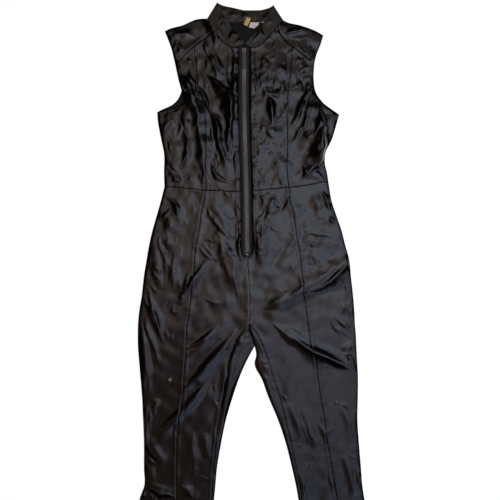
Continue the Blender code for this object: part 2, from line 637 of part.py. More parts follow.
def leg_back(hand, lines, edges, look):
    """The back of one leg: flat on the surface, turned over at the inner leg, and back on top as a
    strip that ends at the inseam."""
    outward = 1 if hand == "right" else -1
    wall, radius = BACK_WALL, TURN_RADIUS
    side, inner, inseam = lines["side"], lines["back"], lines["front"]
    flat = inset(np.stack([side, inner], axis=1))
    fold_row = CROTCH_ROW + 1
    turn_x = flat[:, 1, 0] - outward * (radius + wall / 2)
    flat[fold_row:, 1, 0] = turn_x[fold_row:]
    bm, ends = grid_mesh(flat, np.full(flat.shape[:2], wall / 2))
    ends = ends[fold_row:]
    across = inward(inseam, inner)
    for angle in np.linspace(-90, 90, TURN_STEPS + 1)[1:]:
        reach = radius * math.cos(math.radians(angle))
        rise = wall / 2 + radius * (1 + math.sin(math.radians(angle)))
        ends = next_column(bm, ends, turn_x[fold_row:] + outward * reach,
                           flat[fold_row:, 1, 1], np.full(len(ends), rise))
    seam = (inseam + GAP / 2 * across)[fold_row:]
    for part in (0.5, 1.0):
        x = (1 - part) * turn_x[fold_row:] + part * seam[:, 0]
        y = (1 - part) * flat[fold_row:, 1, 1] + part * seam[:, 1]
        low = front_height(np.column_stack([x, y]), edges)
        lift = (2 * radius - FRONT_FLOOR) * (1 - part)
        ends = next_column(bm, ends, x, y, low + lift + wall / 2)
    return thicken(f"leg_back_{hand}", bm, wall, look)


def next_column(bm, ends, xs, ys, zs):
    """Extrude a chain of edges by one column of faces and carry it to new points."""
    edges = [bm.edges.get(pair) for pair in zip(ends, ends[1:])]
    made = bmesh.ops.extrude_edge_only(bm, edges=edges)
    verts = [item for item in made["geom"] if isinstance(item, bmesh.types.BMVert)]
    verts.sort(key=lambda v: -v.co.y)
    for vert, x, y, z in zip(verts, xs, ys, zs):
        vert.co = (x * MM, y * MM, z * MM)
    return verts


def collar(hand, look):
    """One half of the collar: from centre back to a peak it lies inside up, then it turns over and
    comes down the front to the zip."""
    outward = -1 if hand == "right" else 1
    reach = COLLAR_TURN + COLLAR_WALL / 2
    low, high = COLLAR_WALL / 2, COLLAR_WALL / 2 + 2 * COLLAR_TURN
    neck_back = spaced(f"back_neck_{hand}", BACK_NECK_STEPS)[::-1]
    neck_front = joined(spaced(f"neck_yoke_{hand}", YOKE_ROWS),
                        spaced(f"neck_front_{hand}", CENTRE_COLUMNS))
    free_back = spaced(f"collar_back_{hand}", BACK_NECK_STEPS)
    free_front = spaced(f"collar_front_{hand}", YOKE_ROWS + CENTRE_COLUMNS)
    v = np.linspace(0, 1, COLLAR_ROWS + 1)[:, None]
    start = neck_back[-1] + PEAK_START * (free_back[-1] - neck_back[-1])
    peak = (1 - v) * start + v * free_back[-1]
    axis = peak - np.array([outward * reach, 0])

    back_top = free_back.copy()
    back_top[-1] = axis[-1]
    neck = neck_back.copy()
    neck[-1] = axis[0]
    back = coons(neck, back_top, (1 - v) * neck[0] + v * back_top[0], axis)
    front_top = free_front.copy()
    front_top[0] = axis[-1]
    seam = neck_front.copy()
    seam[0] = axis[0]
    front = coons(seam, front_top, axis, (1 - v) * seam[-1] + v * front_top[-1])
    for grid in (back, front):
        grid[0, 1:-1] += GAP / 2 * inward(grid[0], grid[1])[1:-1]
    back[:, 0] += GAP / 2 * inward(back[:, 0], back[:, 1])
    front[0, -1] += GAP / 2 * inward(front[0], front[1])[-1]
    back[0, 0] += GAP / 2 * inward(back[0], back[1])[0]

    angles = np.radians(np.linspace(-90, 90, TURN_STEPS + 1))[1:-1]
    turned = [(axis + [outward * COLLAR_TURN * math.cos(angle), 0])[:, None] for angle in angles]
    rises = [np.full((COLLAR_ROWS + 1, 1), low + COLLAR_TURN * (1 + math.sin(angle)))
             for angle in angles]
    points = np.concatenate([back, *turned, front], axis=1)
    heights = np.concatenate([np.full(back.shape[:2], low), *rises,
                              np.full(front.shape[:2], high)], axis=1)
    bm = grid_mesh(points, heights)[0]
    return thicken(f"collar_{hand}", bm, COLLAR_WALL, look)


def back_bodice(look):
    """The back from neck to waist, one flat piece."""
    neck = joined(spaced("back_neck_left", BACK_NECK_STEPS),
                  spaced("back_neck_right", BACK_NECK_STEPS)[::-1])
    waist = np.array([SEAMS["waist_side_right"][-1], SEAMS["centre_back"][0],
                      SEAMS["waist_side_left"][-1]])
    outline = np.vstack([
        neck - [0, GAP / 2],
        spaced("shoulder_right", SHOULDER_STEPS)[1:-1],
        spaced("back_armhole_right", BACK_ARMHOLE_STEPS)[:-1],
        spaced("side_right", BACK_SIDE_STEPS)[1:-1],
        waist + [0, GAP / 2],
        spaced("side_left", BACK_SIDE_STEPS)[-2:0:-1],
        spaced("underarm_left", UNDERARM_COLUMNS)[::-1],
        spaced("armhole_left", ARMHOLE_ROWS)[-2::-1],
        spaced("yoke_armhole_left", YOKE_ROWS)[-2:0:-1],
        spaced("shoulder_left", SHOULDER_STEPS)[:0:-1],
    ])
    return flat_piece("back_bodice", outline, 0, BACK_WALL, look)


def zip_tapes(look):
    """The zip's two tapes, which meet under the chain."""
    ys = np.linspace(TAPE_TOP, TAPE_END, TAPE_ROWS + 1)
    middle = at_heights(SEAMS["zip"], ys)
    for hand, side in (("right", -1), ("left", 1)):
        near = middle + [side * GAP / 2, 0]
        far = middle + [side * TAPE_HALF, 0]
        points = np.stack([near, far], axis=1)
        laid_panel(f"zip_tape_{hand}", points, np.full(points.shape[:2], FRONT_FLOOR), TAPE_WALL,
                   look)


def zip_chain(look):
    """The closed chain as one bar."""
    ys = np.linspace(CHAIN_TOP, CHAIN_END, TAPE_ROWS + 1)
    middle = at_heights(SEAMS["zip"], ys)
    points = np.stack([middle - [CHAIN_WIDTH / 2, 0], middle + [CHAIN_WIDTH / 2, 0]], axis=1)
    base = FRONT_FLOOR + TAPE_WALL + GAP
    laid_panel("zip_chain", points, np.full(points.shape[:2], base), CHAIN_HEIGHT, look)


def block(name, size, centre, bevel, look=None):
    """A box with rounded edges; without a material it is a cutter."""
    bpy.ops.mesh.primitive_cube_add(size=1, location=[c * MM for c in centre])
    made = bpy.context.object
    made.name = name
    for vert in made.data.vertices:
        vert.co = [c * s * MM for c, s in zip(vert.co, size)]
    if bevel:
        edge = made.modifiers.new("Rounding", "BEVEL")
        edge.width = bevel * MM
        edge.segments = 2
    for collection in list(made.users_collection):
        collection.objects.unlink(made)
    if look:
        made.data.materials.append(look)
        bpy.data.collections["jumpsuit"].objects.link(made)
    else:
        made.hide_render = True
        made.display_type = "WIRE"
        bpy.data.collections["cutters"].objects.link(made)
    return made


def boolean(made, cutter, operation):
    """Join or cut one object with another."""
    step = made.modifiers.new(cutter.name, "BOOLEAN")
    step.operation = operation
    step.object = cutter


def zip_hardware(metal, dark_metal):
    """Slider with its bridge, pull tab on its cross bar, and bottom stop."""
    base = FRONT_FLOOR + TAPE_WALL + GAP
    x = SEAMS["zip"][0][0]
    height = SLIDER_SIZE[2]
    top = base + height
    slider = block("zip_slider", SLIDER_SIZE, (x, SLIDER_Y, base + height / 2), SLIDER_ROUND, metal)
    bridge_width, bridge_length, bridge_height = BRIDGE_SIZE
    bridge = block("bridge", (bridge_width, bridge_length, bridge_height + BRIDGE_ROOT),
                   (x, SLIDER_Y, top + (bridge_height - BRIDGE_ROOT) / 2), BRIDGE_ROUND)
    hole_height = bridge_height - BRIDGE_TOP
    hole = block("bridge_hole", (2 * bridge_width, bridge_length - 2 * BRIDGE_LEG, hole_height),
                 (x, SLIDER_Y, top + hole_height / 2), 0)
    boolean(slider, bridge, "UNION")
    boolean(slider, hole, "DIFFERENCE")

    hinge = (x, SLIDER_Y + PULL_HINGE_DY, top + hole_height / 2)
    tab_width, tab_length = PULL_SIZE
    tab = block("zip_pull", (tab_width, tab_length, PULL_BAR), hinge, PULL_ROUND, dark_metal)
    for vert in tab.data.vertices:
        vert.co.y -= (tab_length - PULL_BAR) / 2 * MM
    tab.rotation_euler = (PULL_TILT, 0, 0)
    eye_width, eye_length = PULL_EYE
    eye = block("pull_eye", (eye_width, eye_length, 3 * PULL_BAR), hinge, 0)
    for vert in eye.data.vertices:
        vert.co.y -= (PULL_BAR + eye_length) / 2 * MM
    eye.rotation_euler = (PULL_TILT, 0, 0)
    boolean(tab, eye, "DIFFERENCE")

    end_x = SEAMS["zip"][-1][0]
    block("zip_bottom_stop", STOP_SIZE,
          (end_x, CHAIN_END - GAP - STOP_SIZE[1] / 2, base + STOP_SIZE[2] / 2), STOP_ROUND, metal)


def labels(yellow, white):
    """The ribbon at the back neck and the care label beside it, both bare."""
    heights = np.array(NECK_LABEL["heights"])[:, None]
    along = np.linspace(0.5, -0.5, len(heights)) * NECK_LABEL["length"]
    across = np.array([-0.5, 0.5]) * NECK_LABEL["width"]
    c, s = math.cos(NECK_LABEL["turn"]), math.sin(NECK_LABEL["turn"])
    x = NECK_LABEL["x"] + c * across[None, :] - s * along[:, None]
    y = NECK_LABEL["y"] + s * across[None, :] + c * along[:, None]
    laid_panel("neck_label", np.stack([x, y], axis=2), np.tile(heights, (1, 2)), LABEL_WALL, yellow)
    flat_piece("care_label", SEAMS["care_label"], FRONT_FLOOR, LABEL_WALL, white)


def main():
    for item in list(bpy.data.objects):
        bpy.data.objects.remove(item, do_unlink=True)
    for name in ("jumpsuit", "cutters"):
        collection = bpy.data.collections.get(name) or bpy.data.collections.new(name)
        if name not in bpy.context.scene.collection.children:
            bpy.context.scene.collection.children.link(collection)

    satin = material("black_satin", (0.012, 0.011, 0.011), 0.32)
    satin_back = material("black_satin_back", (0.010, 0.009, 0.009), 0.40)
    collar_cloth = material("collar_cloth", (0.035, 0.034, 0.028), 0.75)
    tape = material("zip_tape", (0.010, 0.010, 0.011), 0.85)
    metal = material("zip_metal", (0.10, 0.095, 0.09), 0.35, 1.0)
    dark_metal = material("pull_metal", (0.05, 0.05, 0.055), 0.45, 1.0)
    yellow = material("yellow_ribbon", (0.72, 0.50, 0.06), 0.6)
    white = material("white_label", (0.80, 0.80, 0.78), 0.7)

    legs = {hand: leg_lines(hand) for hand in ("right", "left")}
    edges = free_edges(legs)
    back_bodice(satin_back)
    for hand in ("right", "left"):
        bodice_front(hand, edges, satin)
        leg_front(hand, legs[hand], edges, satin)
        leg_back(hand, legs[hand], edges, satin_back)
        collar(hand, collar_cloth)
    zip_tapes(tape)
    zip_chain(metal)
    zip_hardware(metal, dark_metal)
    labels(yellow, white)


main()
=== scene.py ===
"""Looks of the black satin jumpsuit: creased cloth shells, zip, stitching, labels and the stage.

Every new piece is a surface worked out with numpy in millimetres and made once, in place, at the
origin.  +X is the wearer's left, +Y runs up to the collar and +Z up from the cloth.
"""
import math

import bpy
import numpy as np
from bpy.props import FloatProperty, FloatVectorProperty, PointerProperty
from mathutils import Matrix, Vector


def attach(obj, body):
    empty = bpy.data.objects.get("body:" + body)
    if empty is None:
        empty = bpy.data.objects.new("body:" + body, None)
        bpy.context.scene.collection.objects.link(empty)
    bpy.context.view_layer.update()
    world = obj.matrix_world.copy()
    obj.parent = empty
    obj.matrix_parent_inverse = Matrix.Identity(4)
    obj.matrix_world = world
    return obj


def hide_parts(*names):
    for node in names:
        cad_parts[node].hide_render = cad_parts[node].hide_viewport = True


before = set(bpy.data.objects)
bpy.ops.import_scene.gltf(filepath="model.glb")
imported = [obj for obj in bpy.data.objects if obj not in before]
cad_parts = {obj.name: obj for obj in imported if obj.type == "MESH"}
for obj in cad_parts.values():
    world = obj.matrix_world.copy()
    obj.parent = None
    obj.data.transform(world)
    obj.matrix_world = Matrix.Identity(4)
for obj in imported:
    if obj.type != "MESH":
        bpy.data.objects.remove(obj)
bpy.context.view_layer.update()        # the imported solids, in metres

bl_info = {
    "name": "Satin Jumpsuit",
    "version": (1, 0, 0),
    "blender": (4, 5, 0),
    "location": "View3D > Sidebar > Jumpsuit",
    "description": "Builds a laid-flat satin jumpsuit with a zip front around its packed solids",
    "category": "Object",
}

MM = 0.001
GARMENT = "garment"        # the body that the cloth and the zip's fixed parts ride on
HANDS = {"right": -1, "left": 1}      # which way each side of the wearer lies along X


# ---- cloth (mm) ------------------------------------------------------------------------------------
FRONT_WALL = 0.9           # shell of the front, measured from its upper face
FRONT_EDGE_TOP = 2.5       # upper face of the front at a free edge
FRONT_LOFT = 2.2           # how much higher it lies away from its edges
FRONT_LOWEST = 1.9         # the upper face never lies lower than this
LOWEST_BLEND = 0.25        # softness of that limit
EDGE_ROLL = 3.0            # distance over which the front comes down at a free edge
EDGE_DROP = 0.5            # and how far its last 2 mm roll under
FOLD_FADE = 24.0           # distance over which broad folds die out at a free edge
CREASE_FADE = 7.0          # and over which fine creases do
BACK_WALL = 0.8
BACK_RIPPLE = 0.4          # share of the front's ripples that the back has
TURN_RADIUS = 1.0          # middle of the back cloth where it turns over at the inner leg
COLLAR_WALL = 1.8
COLLAR_MIDDLE = (1.1, 3.8)  # middle of the collar cloth: its back half, and its turned front
PEAK_START = 0.015         # the collar's turned edge starts this share of its height above the neck
SEAM_GAP = 0.2
DRAWN = 2.4                # how far lines of points are drawn towards a seam, in steps
BAND_WIDTH = 10.0          # armhole band
BAND_RISE = 0.9            # its upper face above the front's
BAND_WALL = 0.7
COLLAR_ROUND = 0.35        # radius of the collar's edges
COLLAR_RIPPLE = 0.25
COLLAR_FADE = (6.0, 8.0)   # distance over which creases die out towards the turned edge, back and front


# ---- seams and wrinkles (mm) -------------------------------------------------------------------------
GROOVE = (0.50, 0.7)       # depth and half-width of the groove at a seam
ALLOWANCE = (0.30, 8.0)    # rise over the pressed seam allowance, and its width
PUCKER = (0.12, 14.0, 7.0)      # height, spacing and reach of the puckers along a seam
ZIP_TURN = (0.6, 11.0)     # rise and width of the cloth turned under along the zip
ZIP_STITCH = 6.0           # topstitching from the zip edge
ZIP_PUCKER = (0.25, 17.0, 9.0)
BAND_PUCKER = (0.15, 9.0, 5.0)
STITCH_GROOVE = (0.45, 1.6)     # depth and half-width of the groove at topstitching
EDGE_DOWN = (1.3, 2.0)     # how far a turned edge rolls down, and over what width
HEM_TURN = (0.8, 20.0)
RIPPLES = 26               # broad, shallow waves that cross the whole front
RIPPLE_LENGTH = (18.0, 75.0)
RIPPLE_SLOPE = 0.011       # root mean square slope of one wave
SPREAD = 1.3               # how much wider and higher the dark lines are than in their table
BEND = 0.1                 # rounding of a fine crease's crest and feet, as a share of its width
TAPER = 55.0               # length over which a fine crease narrows towards each end
NARROWEST = 0.1            # share of its width and height that it ends with
WAVER = (1.8, 0.8)         # how far its path wavers: a long wave and a short one
LEG_WAVER = 0.35           # share of that on the legs
STITCH_LENGTH = 2.9
STITCH_PITCH = 3.5
THREAD = 0.2               # radius of the thread


# ---- grids: points between the seams' ends ---------------------------------------------------------
FINE = 6                   # fine steps for each step of the counts below
CENTRE_COLUMNS = 8 * FINE  # zip to princess seam
SIDE_COLUMNS = 7 * FINE    # princess seam to armhole or side seam
NECK_ROWS = 4 * FINE       # collar to princess seam
ARMHOLE_ROWS = 9 * FINE    # yoke seam to the foot of the armhole
UNDERARM_COLUMNS = 5 * FINE
SIDE_ROWS = 13 * FINE      # side seam to waist
YOKE_ROWS = 5 * FINE
BACK_COLUMNS = 12          # side seam to inner leg, on the back
TURN_STEPS = 6             # round a turned edge
STRIP_COLUMNS = 6          # turned edge to inseam
BACK_NECK_STEPS = 12       # centre back to shoulder
BACK_SHOULDER_STEPS = 10
BACK_ARMHOLE_STEPS = 36
BACK_UNDERARM_STEPS = 8
BACK_SIDE_STEPS = 40
COLLAR_ROWS = 14           # neck seam to free edge
BAND_COLUMNS = 6
TAPE_ROWS = 120
TAPE_COLUMNS = 44
EDGE_STEPS = 12            # steps of a short free edge that heights are measured from
# levels down the inner edge of a leg: y reached, and the rows to get there
LEG_LEVELS = [(130, 76), (-23, 70), (-23.2, 1), (-31, 3), (-40, 4), (-77, 16), (-447, 168), (-746, 60)]
ZIP_FOOT, ZIP_ROWS = LEG_LEVELS[0]
CROTCH_ROW = 146           # rows above the crotch: the first two levels
PARTING_ROW = 170          # and above the point where the legs part
CROTCH_LINES = 2           # lines of a leg table above that point


# ---- zip (mm) ------------------------------------------------------------------------------------------
TAPE_HALF = 17.0
TAPE_SPAN = (640.0, 135.0)
TAPE_TOP = 2.0             # upper face of the tapes
TAPE_WALL = 0.6
CHAIN_SPAN = (619.5, 147.0)
TOOTH_PITCH = 2.5          # of one row of teeth
TOOTH_BASE = 2.35
TOOTH_HEIGHT = 2.1
TOOTH_STATIONS = [(5.6, 0.60, 0.8), (5.2, 0.80, 1.0), (2.2, 0.80, 1.0), (0.9, 0.55, 0.9),
                  (0.0, 0.62, 1.0), (-0.8, 0.6, 0.95), (-1.3, 0.3, 0.6)]
# each: place along the tooth, half its width, share of its height


# ---- seams and edges: points (x, y), each from its collar, neck or waist end ---------------------
SEAMS = {
    # wearer's right
    "neck_yoke_right": [(-119, 709), (-112, 695), (-103, 680)],
    "neck_front_right": [(-103, 680), (-95, 668), (-85, 657), (-75, 648), (-60, 641), (-45, 640)],
    "shoulder_right": [(-119, 709), (-143, 707), (-180, 692), (-212, 683), (-221, 678)],
    "yoke_armhole_right": [(-221, 678), (-212, 655), (-205, 635), (-200, 615), (-196, 598)],
    "yoke_neck_right": [(-103, 680), (-122, 664), (-140, 652), (-152, 642)],
    "yoke_side_right": [(-152, 642), (-165, 630), (-180, 615), (-196, 598)],
    "armhole_right": [(-196, 598), (-189, 565), (-180, 532), (-176.5, 514)],
    "underarm_right": [(-176.5, 514), (-180, 505), (-190, 498), (-215, 491), (-239.5, 484)],
    "back_armhole_right": [(-221, 678), (-205, 635), (-196, 598), (-189, 565), (-181, 535),
                           (-191, 513), (-206, 500), (-225, 492), (-240, 487)],
    "side_right": [(-239.5, 484), (-237.5, 460), (-230, 420), (-222.5, 380), (-223, 340),
                   (-222, 306)],
    "princess_right": [(-152, 642), (-146, 600), (-141, 545), (-128, 500), (-122, 440),
                       (-121, 400), (-122, 350), (-124, 297)],
    "waist_centre_right": [(-40, 294), (-80, 295), (-124, 297)],
    "waist_side_right": [(-124, 297), (-180, 302.5), (-222, 306)],
    "zip_edge_right": [(-45, 640), (-45, 480), (-43, 400), (-41, 340), (-40, 294)],
    "zip_end_right": [(-40, 294), (-39, 220), (-37, 157), (-33, 141), (-24, 130)],
    # wearer's left
    "neck_yoke_left": [(62, 705), (56, 698.5), (50, 692)],
    "neck_front_left": [(50, 692), (42, 681), (33, 671), (20, 657), (8, 645), (-2, 640.5),
                        (-17, 640)],
    "shoulder_left": [(62, 705), (72, 700), (105, 692), (148, 675), (159, 668)],
    "yoke_armhole_left": [(159, 668), (152, 645), (142, 620), (137.5, 600)],
    "yoke_neck_left": [(50, 692), (55, 673), (65, 660), (85, 642)],
    "yoke_side_left": [(85, 642), (100, 630), (122, 612), (137.5, 600)],
    "armhole_left": [(137.5, 600), (136, 560), (141, 532), (148, 519)],
    "underarm_left": [(148, 519), (158, 507), (180, 490), (197, 478)],
    "side_left": [(197, 478), (192, 460), (180, 420), (163, 380), (163, 360), (168, 338),
                  (171, 319)],
    "princess_left": [(85, 642), (82, 600), (76, 545), (71.5, 500), (71.5, 460), (73.5, 420),
                      (72, 380), (72.5, 340), (76, 304)],
    "waist_centre_left": [(-12, 295.5), (40, 301), (76, 304)],
    "waist_side_left": [(76, 304), (120, 310), (171, 319)],
    "zip_edge_left": [(-17, 640), (-17, 480), (-15, 400), (-13, 340), (-12, 295.5)],
    "zip_end_left": [(-12, 295.5), (-11, 220), (-10, 157), (-15, 141), (-24, 130)],
    # middle
    "zip": [(-31, 640), (-31, 480), (-29, 400), (-27, 340), (-26, 295), (-25, 220), (-24, 135)],
    "centre_front": [(-24, 130), (-22, 100), (-19, 30), (-18.5, -23)],
    "centre_back": [(-26, 294.8), (-25, 220), (-24, 130), (-22, 100), (-19, 30), (-18.5, -23)],
    "crotch": [(-18.5, -23), (-15, -45), (-10, -62), (-5.7, -77)],
    "back_neck_right": [(-119, 709), (-95, 703), (-72, 700), (-32, 700)],
    "back_neck_left": [(62, 705), (38, 702), (12, 700), (-32, 700)],
    # collar: its free edge from centre back to a peak, and from there down to the front
    "collar_back_right": [(-32, 728.5), (-45, 731.5), (-60, 735), (-82, 740), (-96, 746)],
    "collar_back_left": [(-32, 728.5), (-12, 728.5), (15, 730), (28, 734), (40, 739.5)],
    "collar_front_right": [(-96, 746), (-88, 736), (-80, 718), (-70, 699), (-60, 685), (-40, 663),
                           (-30, 650)],
    "collar_front_left": [(40, 739.5), (30, 725), (20, 707), (8, 687), (-7, 671), (-27, 648)],
}


# ---- legs: y, then x of the side seam, the princess seam, the inseam and the turned inner edge ----
HIP_COLUMNS = ("y", "side_right", "princess_right", "princess_left", "side_left")
HIP_ROWS = [
    (270, -231.0, -129.0, 80.5, 179.5),
    (235, -241.0, -135.0, 87.0, 191.0),
    (200, -251.0, -140.0, 94.0, 203.0),
    (165, -259.0, -147.0, 99.0, 212.0),
    (130, -265.0, -150.5, 105.0, 221.5),
    (90, -271.5, -154.0, 109.0, 225.5),
    (45, -276.5, -158.0, 113.5, 230.5),
    (0, -283.5, -165.0, 119.0, 234.0),
]
LEG_COLUMNS = ("y", "side", "princess", "inseam", "turn")
LEG_ROWS = {
    "right": [
        (-23, -285.5, -168.0, -18.5, -18.5),
        (-45, -286.0, -170.0, -34.0, -15.0),
        (-77, -285.8, -171.5, -49.5, -5.7),
        (-113, -283.0, -173.5, -61.5, -25.0),
        (-157, -279.3, -176.5, -74.0, -44.0),
        (-197, -276.0, -179.5, -82.0, -57.6),
        (-254, -273.4, -188.0, -91.7, -74.4),
        (-312, -271.3, -193.0, -99.0, -86.4),
        (-370, -271.2, -194.5, -105.0, -96.0),
        (-415, -271.3, -194.0, -107.5, -100.0),
        (-430, -277.0, -193.5, -107.8, -101.5),
        (-447, -282.5, -193.5, -108.8, -103.2),
        (-485, -288.0, -197.0, -113.0, -107.0),
        (-545, -286.0, -202.0, -123.0, -117.0),
        (-650, -281.0, -210.0, -142.0, -136.0),
        (-746, -278.4, -216.0, -159.6, -153.6),
    ],
    "left": [
        (-23, 235.0, 122.0, -18.5, -18.5),
        (-45, 237.0, 125.0, -2.5, -15.0),
        (-77, 238.5, 131.5, 13.0, -5.7),
        (-98, 239.5, 136.5, 22.0, -2.0),
        (-118, 240.7, 141.0, 29.5, -6.0),
        (-157, 242.4, 146.5, 40.0, 12.0),
        (-197, 242.0, 152.5, 53.0, 26.4),
        (-254, 241.0, 162.0, 67.4, 50.4),
        (-312, 244.8, 170.0, 81.6, 69.6),
        (-370, 249.6, 179.5, 94.5, 84.0),
        (-415, 253.2, 188.0, 102.0, 94.0),
        (-447, 258.0, 193.5, 106.8, 99.5),
        (-485, 262.0, 199.0, 112.0, 104.5),
        (-545, 268.0, 207.0, 124.0, 117.5),
        (-650, 278.5, 220.0, 147.5, 141.0),
        (-746, 288.0, 233.0, 169.2, 163.2),
    ],
}


# ---- the largest folds of the front: two ends, bow to the left of the run, width and height (mm) --
FOLDS = [
    # x0, y0, x1, y1, bow, width, height
    # bodice, wearer's right
    (-104, 500, -76, 350, 0, 20, 3.0),
    (-54, 578, -62, 372, -4, 22, 3.2),
    (-104, 622, -92, 560, 0, 20, 2.0),
    (-180, 585, -146, 500, 0, 22, 3.5),
    (-177, 508, -160, 398, 0, 22, 2.4),
    (-154, 420, -175, 338, 0, 22, 2.4),
    (-140, 500, -126, 330, 0, 20, 1.8),
    (-206, 472, -192, 335, 4, 22, 1.4),
    (-202, 668, -146, 668, 5, 20, 2.4),
    # bodice, wearer's left
    (-12, 632, -10, 480, 0, 16, 1.6),
    (16, 628, 17, 500, 0, 22, 2.4),
    (66, 624, 42, 543, 0, 24, 2.8),
    (13, 540, 66, 553, -20, 16, 2.8),
    (28, 520, 42, 442, 0, 16, 2.8),
    (16, 448, 62, 424, 0, 20, 2.4),
    (127, 536, 90, 440, -3, 16, 3.0),
    (144, 548, 107, 384, 4, 24, 3.6),
    (164, 480, 146, 350, -6, 26, 3.6),
    (104, 334, 166, 322, 4, 18, 2.8),
    (2, 458, 8, 350, 0, 24, 2.0),
    (68, 669, 120, 684, 3, 18, 2.4),
    (50, 388, 58, 312, 0, 26, 2.0),
    # hip, wearer's right
    (-193, 282, -184, 208, 0, 24, 2.3),
    (-204, 258, -227, 150, 3, 24, 2.0),
    (-246, 194, -232, 58, -3, 26, 2.6),
    (-196, 150, -199, 50, 0, 26, 2.0),
    (-94, 205, -56, 48, 5, 28, 2.9),
    (-114, 138, -190, 24, 3, 18, 3.2),
    (-106, 264, -62, 190, 0, 22, 2.3),
    # hip, wearer's left
    (20, 6, 220, 128, -4, 30, 1.6),
    (106, 177, 198, 165, 3, 22, 2.3),
    (139, 294, 153, 226, 0, 22, 2.6),
    (167, 302, 186, 222, -4, 18, 2.0),
    (10, 238, 8, 110, 4, 20, 2.6),
    (41, 293, 22, 220, 0, 20, 2.0),
    # leg, wearer's right, to the knee
    (-259, 44, -227, -50, 0, 20, 3.0),
    (-280, -12, -266, -205, 8, 22, 2.4),
    (-268, -4, -235, -120, 0, 16, 1.8),
    (-172, -101, -70, -13, 0, 18, 1.0),
    (-180, -190, -60, -60, 0, 20, 1.2),
    (-214, -266, -108, -168, 0, 20, 1.2),
    (-206, -266, -247, -312, 4, 20, 2.4),
    (-264, -202, -266, -302, 0, 18, 2.4),
    (-265, -290, -222, -358, 0, 20, 2.7),
    (-237, -203, -251, -242, 0, 14, 1.8),
    (-262, -352, -250, -402, 0, 24, 1.8),
    (-160, -278, -150, -362, 0, 22, 1.5),
    (-124, -284, -118, -346, 0, 16, 1.8),
    (-267, -406, -194, -430, 0, 20, 2.7),
    (-252, -430, -236, -474, 0, 18, 2.4),
    (-188, -402, -148, -444, 0, 34, 1.8),
    # leg, wearer's left, to the knee
    (60, -40, 240, -140, 0, 18, 1.2),
    (205, -2, 231, 36, 0, 12, 1.8),
    (178, 2, 233, -42, 0, 16, 1.8),
    (202, -86, 240, -66, 0, 16, 2.1),
    (194, -208, 230, -304, 8, 24, 2.1),
    (81, -214, 112, -306, 0, 18, 1.8),
    (108, -228, 147, -328, 0, 22, 1.8),
    (245, -340, 258, -448, 0, 12, 1.8),
    (211, -336, 237, -434, 0, 22, 2.1),
    # shins
    (-278, -498, -236, -548, 0, 24, 2.4),
    (-202, -518, -138, -562, 0, 26, 2.7),
    (-268, -578, -204, -622, 0, 26, 2.4),
    (-188, -600, -152, -704, 0, 24, 1.8),
    (-259, -658, -250, -738, 0, 24, 1.8),
    (256, -498, 204, -542, 0, 24, 2.4),
    (146, -502, 198, -562, 0, 26, 2.4),
    (269, -598, 224, -642, 0, 26, 2.4),
    (168, -618, 206, -718, 0, 24, 1.8),
    (262, -668, 270, -742, 0, 22, 1.8),
]

BACK_FOLDS = [
    # the same numbers, for the back, which lies on the surface and lifts a little
    (-178, 470, -150, 350, 4, 30, 1.2),
    (-120, 560, -96, 430, -4, 34, 1.3),
    (-80, 640, -70, 520, 3, 28, 1.0),
    (22, 600, 40, 470, -4, 32, 1.2),
    (84, 520, 112, 400, 4, 30, 1.3),
    (60, 400, 120, 350, -4, 28, 1.1),
    (-150, 330, -70, 345, 5, 28, 1.1),
    (-190, 230, -160, 80, 5, 34, 1.3),
    (-110, 210, -70, 60, -5, 32, 1.2),
    (-230, 20, -190, -140, 5, 34, 1.3),
    (-130, -40, -80, -150, -4, 30, 1.2),
    (-220, -200, -130, -240, 5, 32, 1.3),
    (-200, -330, -150, -480, 4, 32, 1.2),
    (-240, -520, -190, -660, 4, 32, 1.2),
    (150, 250, 120, 90, -4, 34, 1.3),
    (60, 200, 40, 60, 4, 30, 1.1),
    (180, 40, 130, -110, -5, 34, 1.3),
    (90, -60, 150, -200, 4, 32, 1.2),
    (200, -180, 160, -330, -4, 32, 1.2),
    (130, -360, 190, -500, 4, 32, 1.2),
    (230, -520, 190, -680, -4, 32, 1.2),
]


